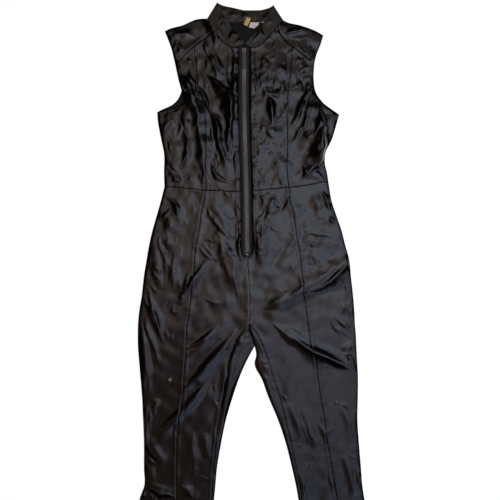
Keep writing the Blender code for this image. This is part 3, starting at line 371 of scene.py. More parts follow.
# ---- fine creases: height, width before and after the crest, then the path (mm) --------------------
# A dark line's path runs down the slope that faces up the garment; a light line's path runs down the
# slope that faces down and to the wearer's left.
DARK_LINES = [
    # bodice, wearer's right, centre panel
    (1.0, 5, 10, (-118, 632, -110, 600, -107, 590)),
    (0.9, 5, 9, (-97, 618, -94, 600, -89, 580)),
    (1.2, 4, 7, (-49, 618, -58, 585, -66, 552)),
    (2.2, 7, 7, (-53, 590, -55, 572, -57, 540, -57, 512)),
    (0.8, 5, 8, (-85, 580, -76, 565)),
    (8.5, 25, 10, (-118, 568, -100, 548, -86, 525, -77, 502, -70, 478, -66, 446)),
    (3.0, 9, 7, (-71, 492, -70, 460, -71, 434, -72, 407, -72, 366)),
    (2.8, 8, 8, (-146, 550, -135, 532, -127, 514, -119, 492, -112, 475)),
    (0.8, 4, 6, (-113, 487, -100, 476, -90, 470)),
    (2.8, 8, 9, (-121, 500, -112, 475, -103, 456, -97, 428, -93, 399, -82, 376, -75, 348)),
    (1.6, 5, 6, (-46, 530, -50, 500, -54, 464)),
    (1.4, 4, 6, (-59, 475, -62, 434, -63, 394, -60, 366)),
    (2.0, 6, 8, (-50, 404, -54, 375, -51, 336)),
    (1.2, 6, 12, (-111, 415, -117, 368)),
    (3.0, 9, 10, (-107, 366, -101, 345, -93, 332, -78, 323, -60, 319)),
    (1.0, 6, 10, (-138, 340, -140, 320)),
    (1.0, 6, 10, (-132, 360, -132, 300)),
    # yoke and side panel
    (5.6, 18, 14, (-132, 716, -119, 692, -109, 668, -98, 642)),
    (0.9, 7, 14, (-200, 668, -175, 675, -145, 665)),
    (0.9, 6, 10, (-183, 645, -190, 620)),
    (1.3, 4, 8, (-169, 618, -165, 600)),
    (2.2, 7, 6, (-166, 592, -159, 560, -149, 535, -141, 520)),
    (4.2, 15, 22, (-182, 574, -172, 543, -163, 512, -153, 482, -148, 452, -145, 420, -140, 390, -127, 328)),
    (1.2, 5, 7, (-200, 480, -190, 486, -180, 495)),
    (1.3, 5, 8, (-190, 463, -187, 445, -193, 415)),
    (1.3, 5, 8, (-180, 475, -177, 455, -178, 440)),
    (1.0, 5, 8, (-214, 478, -225, 440)),
    (1.0, 5, 8, (-212, 470, -200, 463)),
    (1.2, 5, 8, (-213, 425, -213, 400, -207, 380)),
    (1.5, 7, 10, (-167, 415, -175, 390, -180, 360)),
    (1.4, 5, 8, (-216, 370, -200, 358, -178, 332)),
    (2.0, 9, 12, (-205, 345, -190, 325, -177, 310)),
    (1.0, 5, 6, (-222, 360, -214, 354)),
    # bodice, wearer's left, yoke and centre panel
    (1.8, 5, 8, (62, 670, 80, 680, 115, 686)),
    (0.8, 5, 8, (70, 665, 130, 662)),
    (1.5, 5, 8, (45, 680, 40, 665)),
    (1.3, 5, 8, (30, 668, 20, 652)),
    (0.6, 3, 4, (78, 655, 95, 650, 108, 635, 120, 620, 130, 608)),
    (2.0, 5, 8, (-5, 605, -6, 580, -5, 520, -7, 495)),
    (0.9, 4, 7, (10, 615, 12, 600)),
    (1.2, 5, 8, (8, 580, 8, 550, 3, 530)),
    (0.8, 4, 7, (35, 620, 33, 605)),
    (0.9, 5, 8, (85, 635, 70, 622)),
    (1.3, 5, 8, (48, 603, 60, 590, 75, 581)),
    (1.0, 6, 9, (50, 600, 62, 575, 60, 560, 52, 540)),
    (1.0, 6, 9, (18, 540, 50, 542)),
    (1.8, 5, 8, (62, 550, 63, 535, 52, 522)),
    (1.3, 5, 8, (15, 535, 15, 510)),
    (3.6, 11, 12, (24, 532, 28, 508, 33, 485, 36, 458)),
    (0.8, 4, 7, (-8, 475, -6, 455, -11, 428)),
    (0.8, 4, 7, (0, 330, 5, 310, 4, 298)),
    (0.8, 4, 6, (-10, 330, -6, 290)),
    (1.0, 6, 9, (10, 470, 8, 445, 12, 425)),
    (1.0, 5, 8, (2, 402, 10, 405, 26, 425)),
    (1.3, 7, 10, (18, 450, 30, 437, 60, 410)),
    (0.8, 5, 6, (0, 355, 10, 348, 20, 352)),
    # side panel
    (1.0, 5, 8, (94, 615, 94, 600)),
    (1.8, 6, 9, (88, 575, 95, 560, 100, 540, 103, 520)),
    (0.9, 5, 7, (109, 583, 108, 568)),
    (3.0, 9, 4, (125, 555, 112, 522, 101, 494, 90, 470, 80, 442)),
    (3.6, 11, 9, (133, 545, 121, 508, 114, 478, 102, 446, 78, 404)),
    (3.0, 9, 9, (154, 500, 147, 470, 139, 448, 137, 425)),
    (8.0, 27, 12, (150, 502, 144, 460, 141, 425, 138, 395, 129, 361, 108, 326)),
    (3.6, 12, 5, (160, 455, 157, 425, 154, 395, 149, 365, 140, 335)),
    (2.0, 20, 40, (128, 445, 122, 405, 112, 350)),
    (1.6, 6, 9, (110, 355, 117, 330)),
    (1.2, 5, 8, (180, 475, 183, 440)),
    (1.0, 5, 8, (168, 435, 168, 415)),
    # hip, wearer's right
    (2.2, 7, 10, (-222, 285, -210, 272, -200, 262, -197, 225)),
    (1.2, 6, 10, (-218, 200, -215, 150)),
    (2.6, 8, 10, (-230, 195, -235, 175, -225, 130, -218, 85)),
    (1.5, 6, 9, (-258, 115, -250, 100, -238, 60)),
    (1.0, 5, 8, (-267, 65, -255, 35)),
    (1.8, 6, 8, (-162, 110, -170, 80, -185, 38)),
    (2.4, 7, 10, (-122, 258, -110, 240, -98, 225, -85, 210, -65, 180)),
    (1.3, 5, 8, (-58, 255, -45, 245, -42, 225)),
    (0.9, 5, 8, (-60, 235, -60, 220)),
    (1.8, 5, 7, (-43, 240, -42, 200, -44, 145, -42, 125, -36, 105, -30, 90)),
    (2.0, 10, 16, (-85, 180, -78, 165, -65, 130, -60, 100, -47, 40)),
    (0.9, 5, 7, (-70, 160, -55, 148)),
    (1.2, 5, 8, (-130, 170, -115, 155, -102, 142, -98, 120)),
    (0.9, 5, 7, (-125, 175, -100, 185)),
    (1.0, 6, 9, (-140, 165, -112, 135, -105, 130)),
    # hip, wearer's left
    (1.3, 5, 8, (27, 293, 22, 282)),
    (1.5, 5, 8, (2, 285, 12, 280, 14, 270, 5, 248)),
    (1.5, 5, 8, (20, 255, 12, 242, 0, 220, -5, 190)),
    (1.6, 5, 8, (-3, 210, 1, 160, -3, 120, -5, 110)),
    (1.2, 7, 10, (60, 290, 50, 262, 20, 235, 10, 220)),
    (0.9, 6, 9, (45, 290, 30, 262)),
    (1.8, 5, 8, (76, 285, 65, 255, 55, 243)),
    (1.0, 5, 8, (25, 220, 10, 198, 0, 175)),
    (3.6, 9, 11, (157, 298, 160, 280, 165, 262, 178, 240)),
    (2.2, 6, 8, (175, 235, 180, 212)),
    (1.3, 5, 9, (110, 190, 160, 187, 190, 178)),
    (0.9, 8, 12, (70, 200, 90, 185, 75, 160)),
    (4.6, 6, 26, (228, 135, 212, 122, 198, 104, 178, 88, 150, 68, 122, 56)),
    (3.8, 20, 30, (236, 150, 211, 137, 169, 112, 124, 86, 79, 57, 12, 14)),
    (1.0, 5, 7, (203, 95, 213, 60, 208, 30)),
    # leg, wearer's right
    (2.8, 7, 9, (-275, 45, -250, -10, -225, -70)),
    (1.4, 5, 7, (-272, -15, -262, -45, -255, -65, -240, -100, -236, -118)),
    (1.2, 5, 6, (-180, 50, -187, 38)),
    (1.0, 5, 6, (-198, 30, -196, 5, -183, 10)),
    (1.2, 8, 10, (-125, 38, -80, 28)),
    (2.4, 5, 14, (-172, -82, -140, -62, -122, -51, -92, -22)),
    (3.0, 5, 16, (-12, -16, -36, -48, -60, -100, -70, -151, -79, -206, -86, -262)),
    (1.2, 4, 6, (-36, -47, -20, -50, -6, -57)),
    (1.6, 8, 10, (-48, -69, -28, -63, -6, -62)),
    (3.5, 12.5, 19, (-184, -190, -173, -176, -140, -137, -110, -101, -80, -70, -50, -34)),
    (3.0, 11, 18, (-252, -288, -230, -269, -200, -240, -176, -221, -155, -197, -112, -152)),
    (2.0, 9, 10, (-76, -112, -82, -145, -86, -190)),
    (1.2, 5, 7, (-105, -205, -95, -230)),
    (1.4, 4, 6, (-258, -228, -257, -260)),
    (0.9, 5, 7, (-198, -275, -200, -320)),
    (1.4, 5, 7, (-265, -340, -240, -358)),
    (0.5, 5, 12, (-155, -275, -158, -330)),
    (0.5, 5, 12, (-136, -290, -125, -350)),
    (0.8, 5, 12, (-102, -270, -108, -345)),
    (0.6, 5, 12, (-150, -345, -156, -395)),
    (0.7, 6, 14, (-150, -385, -130, -388, -106, -400)),
    (3.0, 9, 11, (-268, -415, -250, -418, -230, -425, -205, -433, -195, -440)),
    (2.2, 6, 8, (-271, -415, -283, -446)),
    # leg, wearer's left
    (1.4, 12, 20, (20, 25, 60, 50, 80, 60)),
    (1.2, 7, 9, (205, 35, 197, 5)),
    (1.4, 5, 6, (222, 32, 202, 0)),
    (1.3, 5, 6, (232, 30, 222, 0, 225, -15)),
    (1.8, 8, 10, (175, -5, 190, -28, 215, -45, 230, -58)),
    (1.2, 5, 6, (197, -15, 205, -22, 225, -28)),
    (3.3, 20, 16, (38, -22, 79, -42, 112, -60, 142, -78, 190, -99, 229, -123, 250, -137)),
    (2.8, 9, 30, (88, -56, 138, -84, 176, -101, 218, -122)),
    (2.6, 8, 8, (217, -92, 225, -108, 237, -132)),
    (1.0, 7, 22, (72, -26, 98, -42, 124, -64)),
    (0.8, 7, 9, (200, -88, 232, -72)),
    (2.2, 6, 8, (200, -92, 222, -97, 230, -105, 233, -128)),
    (1.6, 5, 7, (12, -108, 25, -118)),
    (1.4, 5, 7, (20, -120, 28, -135)),
    (1.0, 5, 7, (5, -140, 20, -160, 22, -175)),
    (0.9, 5, 6, (38, -165, 35, -185)),
    (0.9, 6, 8, (60, -190, 68, -215)),
    (1.0, 6, 8, (185, -205, 195, -212)),
    (1.0, 5, 6, (205, -203, 225, -228)),
    (1.0, 5, 7, (90, -345, 96, -385)),
    (1.6, 4, 6, (103, -380, 106, -400, 110, -420, 113, -440)),
    (0.9, 4, 6, (88, -222, 100, -255, 112, -280, 125, -318)),
    (0.6, 5, 8, (120, -270, 142, -305)),
    (1.6, 8, 12, (140, -255, 150, -270, 158, -290, 165, -318)),
    (0.8, 4, 5, (98, -310, 103, -322)),
    (0.8, 5, 6, (133, -350, 120, -375)),
    (0.8, 8, 12, (170, -262, 178, -290)),
    (0.9, 5, 8, (171, -370, 173, -395, 184, -440)),
    (1.6, 7, 11, (190, -212, 210, -222, 225, -240, 232, -265, 236, -290, 236, -315)),
    (1.2, 7, 10, (215, -330, 238, -345, 243, -365)),
    (2.4, 9, 11, (225, -360, 235, -375, 240, -395, 250, -430)),
]
COLLAR_INSIDE = [
    (2.0, 5, 7, (-88, 738, -85, 729, -79, 716)),
    (2.6, 7, 10, (-57, 734, -60, 720, -63, 702)),
    (2.4, 6, 10, (-29, 731, -32, 720, -34, 702)),
    (0.8, 5, 9, (-4, 727, -8, 705)),
    (3.0, 9, 9, (31, 733, 20, 713, 7, 692)),
]
COLLAR_DARK = [
    (2.8, 7, 9, (-59, 686, -64, 671, -69, 657)),
    (2.0, 5, 7, (-38, 664, -45, 653, -51, 646)),
    (1.0, 6, 12, (-84, 722, -90, 700)),
    (2.8, 9, 10, (12, 699, 2, 678, -9, 654)),
    (0.8, 6, 12, (30, 715, 22, 690)),
]
COLLAR_LIGHT = [
    (1.6, 6, 7, (-81, 713, -77, 697, -71, 679)),
    (1.3, 5, 6, (-105, 701, -92, 676, -77, 656)),
    (1.8, 7, 14, (-8, 681, -16, 663, -23, 648)),
]
LIGHT_LINES = [
    (-1.5, 16, 16, (-132, 500, -125, 415, -118, 330)),
    (1.4, 8, 12, (-44, -106, -58, -145, -66, -190)),
    (2.0, 13, 13, (-172, -114, -115, -68, -62, -24)),
    # bodice
    (1.8, 8, 6, (-52, 545, -53, 513, -55, 490, -62, 460, -66, 430, -66, 400, -62, 375)),
    (1.5, 6, 6, (-118, 465, -108, 445, -104, 420, -102, 400, -90, 365, -89, 345)),
    (2.0, 6, 6, (-182, 570, -172, 545, -160, 515)),
    (1.5, 8, 8, (-152, 415, -160, 385, -173, 345)),
    (1.2, 5, 5, (70, 668, 115, 685)),
    (1.2, 5, 5, (-13, 630, -17, 600, -16, 540)),
    (1.3, 6, 7, (15, 535, 30, 525, 45, 520, 62, 550)),
    (1.3, 7, 7, (20, 447, 50, 430)),
    (1.8, 6, 6, (122, 520, 104, 480, 83, 435)),
    (1.6, 6, 7, (105, 338, 115, 325, 140, 338, 163, 318)),
    # hip
    (1.5, 6, 6, (-205, 255, -225, 222)),
    (2.2, 9, 10, (-190, 275, -185, 215)),
    (1.2, 8, 9, (-230, 110, -230, 60)),
    (1.8, 12, 13, (-195, 140, -198, 60)),
    (2.4, 6, 5, (-118, 132, -130, 112, -145, 90, -160, 68, -185, 30)),
    (1.6, 12, 14, (-92, 195, -70, 120, -60, 70)),
    # leg, wearer's right
    (2.4, 9, 10, (-258, 60, -225, -60)),
    (1.4, 6, 7, (-268, -10, -253, -60)),
    (2.8, 10, 11, (-278, -20, -268, -60, -265, -90, -262, -130, -268, -160, -268, -200)),
    (1.0, 5, 5, (-218, -30, -208, -65)),
    (0.9, 5, 5, (-200, -35, -203, -75)),
    (1.0, 5, 5, (-168, 50, -188, 25)),
    (0.9, 5, 5, (-100, -160, -98, -190)),
    (1.2, 5, 6, (-195, -262, -210, -275)),
    (1.0, 4, 5, (-210, -275, -228, -290, -236, -303)),
    (0.9, 5, 5, (-250, -240, -238, -205)),
    (1.0, 6, 6, (-35, -130, -50, -170, -60, -200)),
    (2.8, 10, 10, (-262, -210, -264, -240, -266, -270, -262, -300, -250, -330, -235, -350, -228, -358)),
    (1.2, 6, 7, (-262, -355, -255, -385)),
    (0.6, 5, 6, (-118, -290, -124, -312)),
    (0.6, 5, 6, (-115, -330, -112, -350)),
    (2.0, 14, 16, (-185, -410, -155, -440)),
    (1.2, 6, 6, (-255, -425, -247, -445)),
    (1.4, 6, 7, (-240, -435, -225, -446)),
]

# Short creases strewn at random: the region's x and y limits, how many, their mean direction and its
# spread (degrees from +X), the longest one (mm) and the steepest slope.
CRUMPLES = [
    (-10, 78, 460, 650, 38, 80, 25, 46, 0.25),
    (-8, 78, 300, 460, 56, 70, 45, 34, 0.17),
    (85, 140, 540, 640, 22, 70, 30, 44, 0.26),
    (90, 190, 330, 530, 16, 70, 25, 50, 0.14),
    (-140, -50, 545, 640, 26, 97, 9, 85, 0.24),
    (-120, -50, 300, 560, 18, 105, 20, 45, 0.16),
    (-225, -160, 320, 490, 22, 95, 25, 45, 0.16),
    (-200, -130, 500, 680, 22, 110, 40, 40, 0.24),
    (-45, -38, 140, 300, 14, 90, 30, 24, 0.25),
    (-12, 60, 130, 300, 34, 80, 45, 36, 0.22),
    (-130, -45, 130, 290, 22, 120, 35, 40, 0.18),
    (-250, -140, 60, 290, 34, 100, 35, 42, 0.18),
    (80, 215, 60, 300, 26, 75, 45, 42, 0.16),
    (-275, -100, -430, 40, 16, 60, 25, 80, 0.05),
    (20, 240, -430, 40, 18, 110, 20, 80, 0.05),
    (-275, -140, -740, -440, 14, 80, 40, 90, 0.10),
    (110, 275, -740, -440, 14, 100, 40, 90, 0.09),
]


# ---- marks, stitching and stage --------------------------------------------------------------------
STAIN = (-208, -157, 4.2)  # a pale spot on the satin: x, y and radius (mm)
STAIN_SHADE = (0.26, 0.30, 0.26)
TAPE_SHADE_SPAN = (9.5, 12.0)  # painted shade: between these distances from the teeth (mm) the tape darkens, for the shadow under the turned cloth edge
TAPE_PAINTED_SHADE = (0.003, 0.003, 0.003)
STITCHED = [
    # panel, edge, distance from it (mm), rows
    ("bodice_front", "first", ZIP_STITCH, None),
    ("leg_front", "first", ZIP_STITCH, ZIP_ROWS),
    ("armhole_band", "last", 1.5, None),
    ("armhole_band", "first", 1.5, None),
    ("bodice_side", "first", 5.0, None),
    ("leg_side", "first", 5.0, None),
]
PANELS = [
    # flat lights that face down: name, place and size (m), radiance's setting and share of it, colour
    ("key", (1.4, 0.13, 2.4), (3.0, 1.94), "key", 1.0, (0.90, 0.82, 0.98)),
    ("window", (0.6, 0.45, 2.36), (1.0, 1.1), "window", 1.0, (0.46, 0.77, 1.0)),
    ("side_window", (0.15, -0.55, 2.34), (0.64, 0.8), "window", 0.35, (0.36, 0.62, 1.0)),
    ("foot_window", (0.85, -1.65, 2.32), (1.1, 1.1), "window", 1.6, (0.57, 0.70, 1.0)),
    ("ceiling", (-0.33, 0.5, 2.5), (1.26, 1.3), "ceiling", 1.0, (1.0, 0.85, 0.76)),
    ("far_wall", (-0.1, 1.5, 2.54), (1.7, 1.1), "far_wall", 1.0, (1.0, 0.84, 0.73)),
    ("fill", (-0.9, -0.95, 2.46), (2.4, 2.2), "fill", 1.0, (1.0, 0.60, 0.40)),
]
PANEL_TURN = math.radians(8)
LABEL_LIGHT = (0.55, 1.3, 0.55)     # the beam on the labels: where it starts, where it ends (m)
LABEL = (-0.014, 0.695, 0.006)
LABEL_CONE = math.radians(2.8)
CAMERA = (-0.0168, 0.1536, 2.0)     # it looks straight down (m)
LENS = 60.0
GROUND_HALF = 6.0                   # half the side of the ground (m)
GROUND_TOP = -0.0003
GROUND_GREY = 0.9
ROOM_GREY = 0.006

LAID = {}                  # grids and lines of the cloth that later operators use
LOOKS = {}                 # the materials by name


# ---- curves and grids ------------------------------------------------------------------------------
def smooth_line(points, steps=12):
    """A curve through the points, as a fine polyline: cubic pieces whose slope at a point is the
    mean of its two chords, the shorter one counting more."""
    p = np.array(points, float)
    if len(p) == 2:
        return p
    run = np.linalg.norm(np.diff(p, axis=0), axis=1)[:, None]
    chord = np.diff(p, axis=0) / run
    slope = np.vstack([chord[:1], (chord[:-1] * run[1:] + chord[1:] * run[:-1]) / (run[1:] + run[:-1]),
                       chord[-1:]])
    t = np.linspace(0, 1, steps, endpoint=False)[:, None]
    pieces = [(2 * t**3 - 3 * t**2 + 1) * a + (t**3 - 2 * t**2 + t) * length * m
              + (3 * t**2 - 2 * t**3) * b + (t**3 - t**2) * length * n
              for a, b, m, n, length in zip(p[:-1], p[1:], slope[:-1], slope[1:], run)]
    return np.vstack(pieces + [p[-1:]])


def runs(line):
    """Length along a line of points, from its start to each point."""
    return np.concatenate([[0], np.cumsum(np.linalg.norm(np.diff(line, axis=0), axis=1))])


def stepped(line, count):
    """A line as count equal steps along its length."""
    along = runs(line)
    at = np.linspace(0, along[-1], count + 1)
    return np.column_stack([np.interp(at, along, values) for values in line.T])


def spaced(name, count):
    """A seam as count equal steps."""
    return stepped(smooth_line(SEAMS[name]), count)


def at_heights(line, ys):
    """The points of a line that runs down the garment, at the heights ys."""
    fine = smooth_line(line)
    return np.column_stack([np.interp(-ys, -fine[:, 1], fine[:, 0]), ys])


def joined(*lines):
    """Lines end to end, each shared point once."""
    return np.vstack([lines[0]] + [line[1:] for line in lines[1:]])


def plan(points):
    """The x and the y of points."""
    return points[..., 0], points[..., 1]


def coons(top, bottom, first, last):
    """A grid filled in between four edges: (1-v)·top + v·bottom + (1-u)·first + u·last, less the
    same blend of the four corners."""
    u = np.linspace(0, 1, len(top))[None, :, None]
    v = np.linspace(0, 1, len(first))[:, None, None]
    ruled = (1 - v) * top[None] + v * bottom[None] + (1 - u) * first[:, None] + u * last[:, None]
    return ruled - ((1 - u) * (1 - v) * top[0] + u * (1 - v) * top[-1]
                    + (1 - u) * v * bottom[0] + u * v * bottom[-1])


def inward(edge, inner):
    """Unit vectors across an edge, towards the row of points beside it."""
    along = np.gradient(edge, axis=0)
    across = np.column_stack([-along[:, 1], along[:, 0]])
    across /= np.linalg.norm(across, axis=1)[:, None]
    return across * np.sign((across * (inner - edge)).sum())


def inset(grid, sides=("top", "bottom", "first", "last")):
    """A grid with its lines of points drawn towards its named edges, which are moved in by half
    the seam gap.  The line of number i is drawn in by DRAWN·(1 - exp(-i/3))·exp(-i/12) steps."""
    moved = grid.copy()
    for side in sides:
        axis = 0 if side in ("top", "bottom") else 1
        steps = grid.shape[axis] - 1
        number = np.arange(steps + 1)
        at = number - DRAWN * (1 - np.exp(-number / 3)) * np.exp(-number / 12)
        if side in ("bottom", "last"):
            at = (steps - at)[::-1]
        low = np.clip(np.floor(at).astype(int), 0, steps - 1)
        part = (at - low).reshape((-1, 1, 1) if axis == 0 else (1, -1, 1))
        moved = (1 - part) * np.take(moved, low, axis) + part * np.take(moved, low + 1, axis)
    lines = {"top": (moved[0], moved[1]), "bottom": (moved[-1], moved[-2]),
             "first": (moved[:, 0], moved[:, 1]), "last": (moved[:, -1], moved[:, -2])}
    for side in sides:
        edge, inner = lines[side]
        edge += SEAM_GAP / 2 * inward(edge, inner)
    return moved


def smoothstep(t):
    """3t² - 2t³, with t held between 0 and 1."""
    t = np.clip(t, 0, 1)
    return t * t * (3 - 2 * t)


def softened(t):
    """log(1 + exp(t)): 0 far below 0, t far above it, with a smooth bend between."""
    return np.maximum(0, t) + np.log1p(np.exp(-np.abs(t)))


# ---- heights -----------------------------------------------------------------------------------------
def segments(lines):
    """Lines of points as segments: their starts and their ends."""
    return np.vstack([line[:-1] for line in lines]), np.vstack([line[1:] for line in lines])


def edge_distance(x, y, edges):
    """Distance from each point to the nearest of the segments."""
    starts, ends = edges
    run = ends - starts
    nearest = np.full(x.shape, np.inf)
    for (sx, sy), (rx, ry) in zip(starts, run):
        t = np.clip(((x - sx) * rx + (y - sy) * ry) / (rx * rx + ry * ry), 0, 1)
        nearest = np.minimum(nearest, np.hypot(x - sx - t * rx, y - sy - t * ry))
    return nearest


def fold_height(x, y, folds):
    """Sum of the folds: rise · sin(πt)^0.7 · exp(-(2·across/width)²), t being the share of the run."""
    height = np.zeros_like(x)
    for x0, y0, x1, y1, bow, width, rise in folds:
        length = math.hypot(x1 - x0, y1 - y0)
        ux, uy = (x1 - x0) / length, (y1 - y0) / length
        t = np.clip(((x - x0) * ux + (y - y0) * uy) / length, 0, 1)
        across = (y - y0) * ux - (x - x0) * uy - bow * 4 * t * (1 - t)
        height += rise * np.sin(math.pi * t) ** 0.7 * np.exp(-(2 * across / width) ** 2)
    return height


def tent(past, before, after):
    """A tent with rounded bends: the lesser of 1 + d/before and 1 - d/after, and never under 0."""
    top = -np.logaddexp(-(1 + past / before) / BEND, -(1 - past / after) / BEND)
    return BEND * softened(top)


def crumples():
    """Short creases strewn over each region of CRUMPLES, as rows like those of DARK_LINES."""
    rng = np.random.default_rng(3)
    rows = []
    for x0, x1, y0, y1, count, lean, spread, longest, steepest in CRUMPLES:
        for _ in range(count):
            x, y = rng.uniform(x0, x1), rng.uniform(y0, y1)
            angle = math.radians(rng.normal(lean, spread))
            half = longest / 2 * rng.uniform(0.35, 1)
            dx, dy = half * math.cos(angle), half * math.sin(angle)
            bow = 0.35 * half * rng.uniform(-1, 1)
            before, after = rng.uniform(2.5, 5.5), rng.uniform(4, 10)
            rows.append((steepest * before * rng.uniform(0.4, 1), before, after,
                         (x - dx, y - dy, x - bow * math.sin(angle), y + bow * math.cos(angle),
                          x + dx, y + dy)))
    return rows


def wavered(x, y):
    """Places moved by a long and a short wave, and less on the legs, so that lines laid there waver."""
    far, near = WAVER
    size = LEG_WAVER + (1 - LEG_WAVER) * smoothstep((y + 20) / 160)
    return (x + size * (far * np.sin(y / 11 + 1.7 * np.sin(x / 17))
                        + near * np.sin(y / 4.5 + 1.5 * np.sin(x / 9))),
            y + size * (far * np.sin(x / 12 + 1.3 * np.sin(y / 19) + 2) + near * np.sin(x / 4.5 + y / 14)))


def beside_path(x, y, line):
    """For each place, its distance from a line of points (negative on one side) and the length
    along the line to the nearest point."""
    along = runs(line)
    best, side, reached = np.full(x.shape, np.inf), np.zeros_like(x), np.zeros_like(x)
    for (sx, sy), (rx, ry), start, length in zip(line, np.diff(line, axis=0), along, np.diff(along)):
        t = np.clip(((x - sx) * rx + (y - sy) * ry) / length**2, 0, 1)
        gap = np.hypot(x - sx - t * rx, y - sy - t * ry)
        closer = gap < best
        best = np.where(closer, gap, best)
        side = np.where(closer, (y - sy) * rx - (x - sx) * ry, side)
        reached = np.where(closer, start + t * length, reached)
    return np.sign(side) * best, reached


def crease_height(x, y, dark, light):
    """Sum of the fine creases: a tent across each path, whose height and widths shrink together
    towards the path's two ends."""
    height = np.zeros_like(x)
    x, y = wavered(x, y)
    lowest, highest = (np.array([limit(x), limit(y)]) for limit in (np.nanmin, np.nanmax))
    rows = [(SPREAD * rise, SPREAD * before, after, path, SPREAD * before / 2)
            for rise, before, after, path in dark]
    rows += [(*row, -row[2] / 2) for row in light]
    for rise, before, after, path, shift in rows:
        line = smooth_line(np.reshape(path, (-1, 2)), 5)
        reach = 1.6 * (before + after)
        first, last = line.min(axis=0) - reach, line.max(axis=0) + reach
        if (first > highest).any() or (last < lowest).any():
            continue
        near = (x > first[0]) & (x < last[0]) & (y > first[1]) & (y < last[1])
        if not near.any():
            continue
        left, reached = beside_path(x[near], y[near], line)
        total = runs(line)[-1]
        size = np.minimum(1, np.minimum(reached, total - reached) / min(total / 2, TAPER))
        size = NARROWEST + (1 - NARROWEST) * size
        dx, dy = line[-1] - line[0]
        past = -left if dx + 0.5 * dy >= 0 else left
        height[near] += rise * size * tent(past - shift * size, before * size, after * size)
    return height


def ripple_height(x, y, seed=7):
    """Sum of broad waves, a·sin(2π·(x·cosθ + y·sinθ)/λ + φ), each bent a little by a slower one;
    they are stronger above the legs."""
    rng = np.random.default_rng(seed)
    height = np.zeros_like(x)
    for _ in range(RIPPLES):
        length = rng.uniform(*RIPPLE_LENGTH)
        angle = rng.uniform(0, math.pi)
        phase, bend, swing = rng.uniform(0, 2 * math.pi, 3)
        along = x * math.cos(angle) + y * math.sin(angle)
        across = y * math.cos(angle) - x * math.sin(angle)
        wave = 2 * math.pi * along / length + phase + 1.2 * np.sin(across / (1.3 * length) + bend)
        strength = 0.5 + 0.5 * np.sin(across / (2.1 * length) + along / (3.3 * length) + swing)
        height += RIPPLE_SLOPE * math.sqrt(2) * length / (2 * math.pi) * strength * np.sin(wave)
    return height * (1 + 1.2 * smoothstep((y + 60) / 200))


def front_height(x, y, edges):
    """Upper face of the front: edge height + loft + folds + creases + ripples, each fading out
    towards the free edges, and never below FRONT_LOWEST."""
    cloth = bpy.context.scene.jumpsuit_cloth
    away = edge_distance(x, y, edges)
    loft = FRONT_LOFT * (1 - np.exp(-away / EDGE_ROLL)) - EDGE_DROP * np.exp(-(away / 2) ** 2)
    broad = cloth.fold_depth * fold_height(x, y, FOLDS) * smoothstep(away / FOLD_FADE)
    fine = cloth.crease_depth * crease_height(x, y, DARK_LINES + crumples(), LIGHT_LINES)
    fine += cloth.ripple_depth * ripple_height(x, y)
    height = FRONT_EDGE_TOP + loft + broad + fine * smoothstep(away / CREASE_FADE)
    return FRONT_LOWEST + LOWEST_BLEND * softened((height - FRONT_LOWEST) / LOWEST_BLEND)


def grid_runs(points):
    """Distance of every grid point from the four edges of its grid, measured along the grid."""
    over, down = (np.nan_to_num(np.linalg.norm(np.diff(points, axis=axis), axis=2), nan=999.0)
                  for axis in (1, 0))
    first = np.pad(np.cumsum(over, axis=1), ((0, 0), (1, 0)))
    top = np.pad(np.cumsum(down, axis=0), ((1, 0), (0, 0)))
    return {"first": first, "last": first[:, -1:] - first, "top": top, "bottom": top[-1:] - top}


def pucker(along, away, look):
    """Puckers that fade away from a seam: h·sin(2πs/λ + 1.7·sin(2πs/61))·exp(-d/reach)."""
    height, spacing, reach = look
    wave = np.sin(2 * math.pi * along / spacing + 1.7 * np.sin(2 * math.pi * along / 61))
    return height * wave * np.exp(-away / reach)


def seam_height(away, along):
    """Relief beside a seam: a groove, the rise over the pressed allowance, and puckers."""
    depth, half = GROOVE
    rise, width = ALLOWANCE
    return (-depth * np.exp(-(away / half) ** 2) + rise * (1 - smoothstep((away - width + 1.5) / 3))
            + pucker(along, away, PUCKER))


def turned_height(away, along, turn, stitch, puckers):
    """Relief beside a turned and topstitched edge: the rise over the turning, a groove at the
    stitches, the edge rolled down, and puckers."""
    rise, width = turn
    (depth, half), (drop, reach) = STITCH_GROOVE, EDGE_DOWN
    return (rise * (1 - smoothstep((away - width + 2) / 4)) - depth * np.exp(-((away - stitch) / half) ** 2)
            - drop * np.exp(-(away / reach) ** 2) + pucker(along, away, puckers))


# ---- the garment's lines -------------------------------------------------------------------------------
def leg_edge(hand, column):
    """One column of the leg table as a line of points, with the hip's rows where it has them."""
    k = LEG_COLUMNS.index(column)
    rows = [(row[k], row[0]) for row in LEG_ROWS[hand]]
    if column in ("side", "princess"):
        hip = HIP_COLUMNS.index(f"{column}_{hand}")
        rows = [(row[hip], row[0]) for row in HIP_ROWS] + rows
    return rows


def leg_heights(top):
    """The y values of the rows down a leg edge that starts at the height top, spaced as the inner
    edge is."""
    start = SEAMS["centre_back"][0][1]
    ys, y = [start], start
    for end, count in LEG_LEVELS:
        ys += list(np.linspace(y, end, count + 1)[1:])
        y = end
    hem = LEG_LEVELS[-1][0]
    return hem + (np.array(ys) - hem) * (top - hem) / (start - hem)


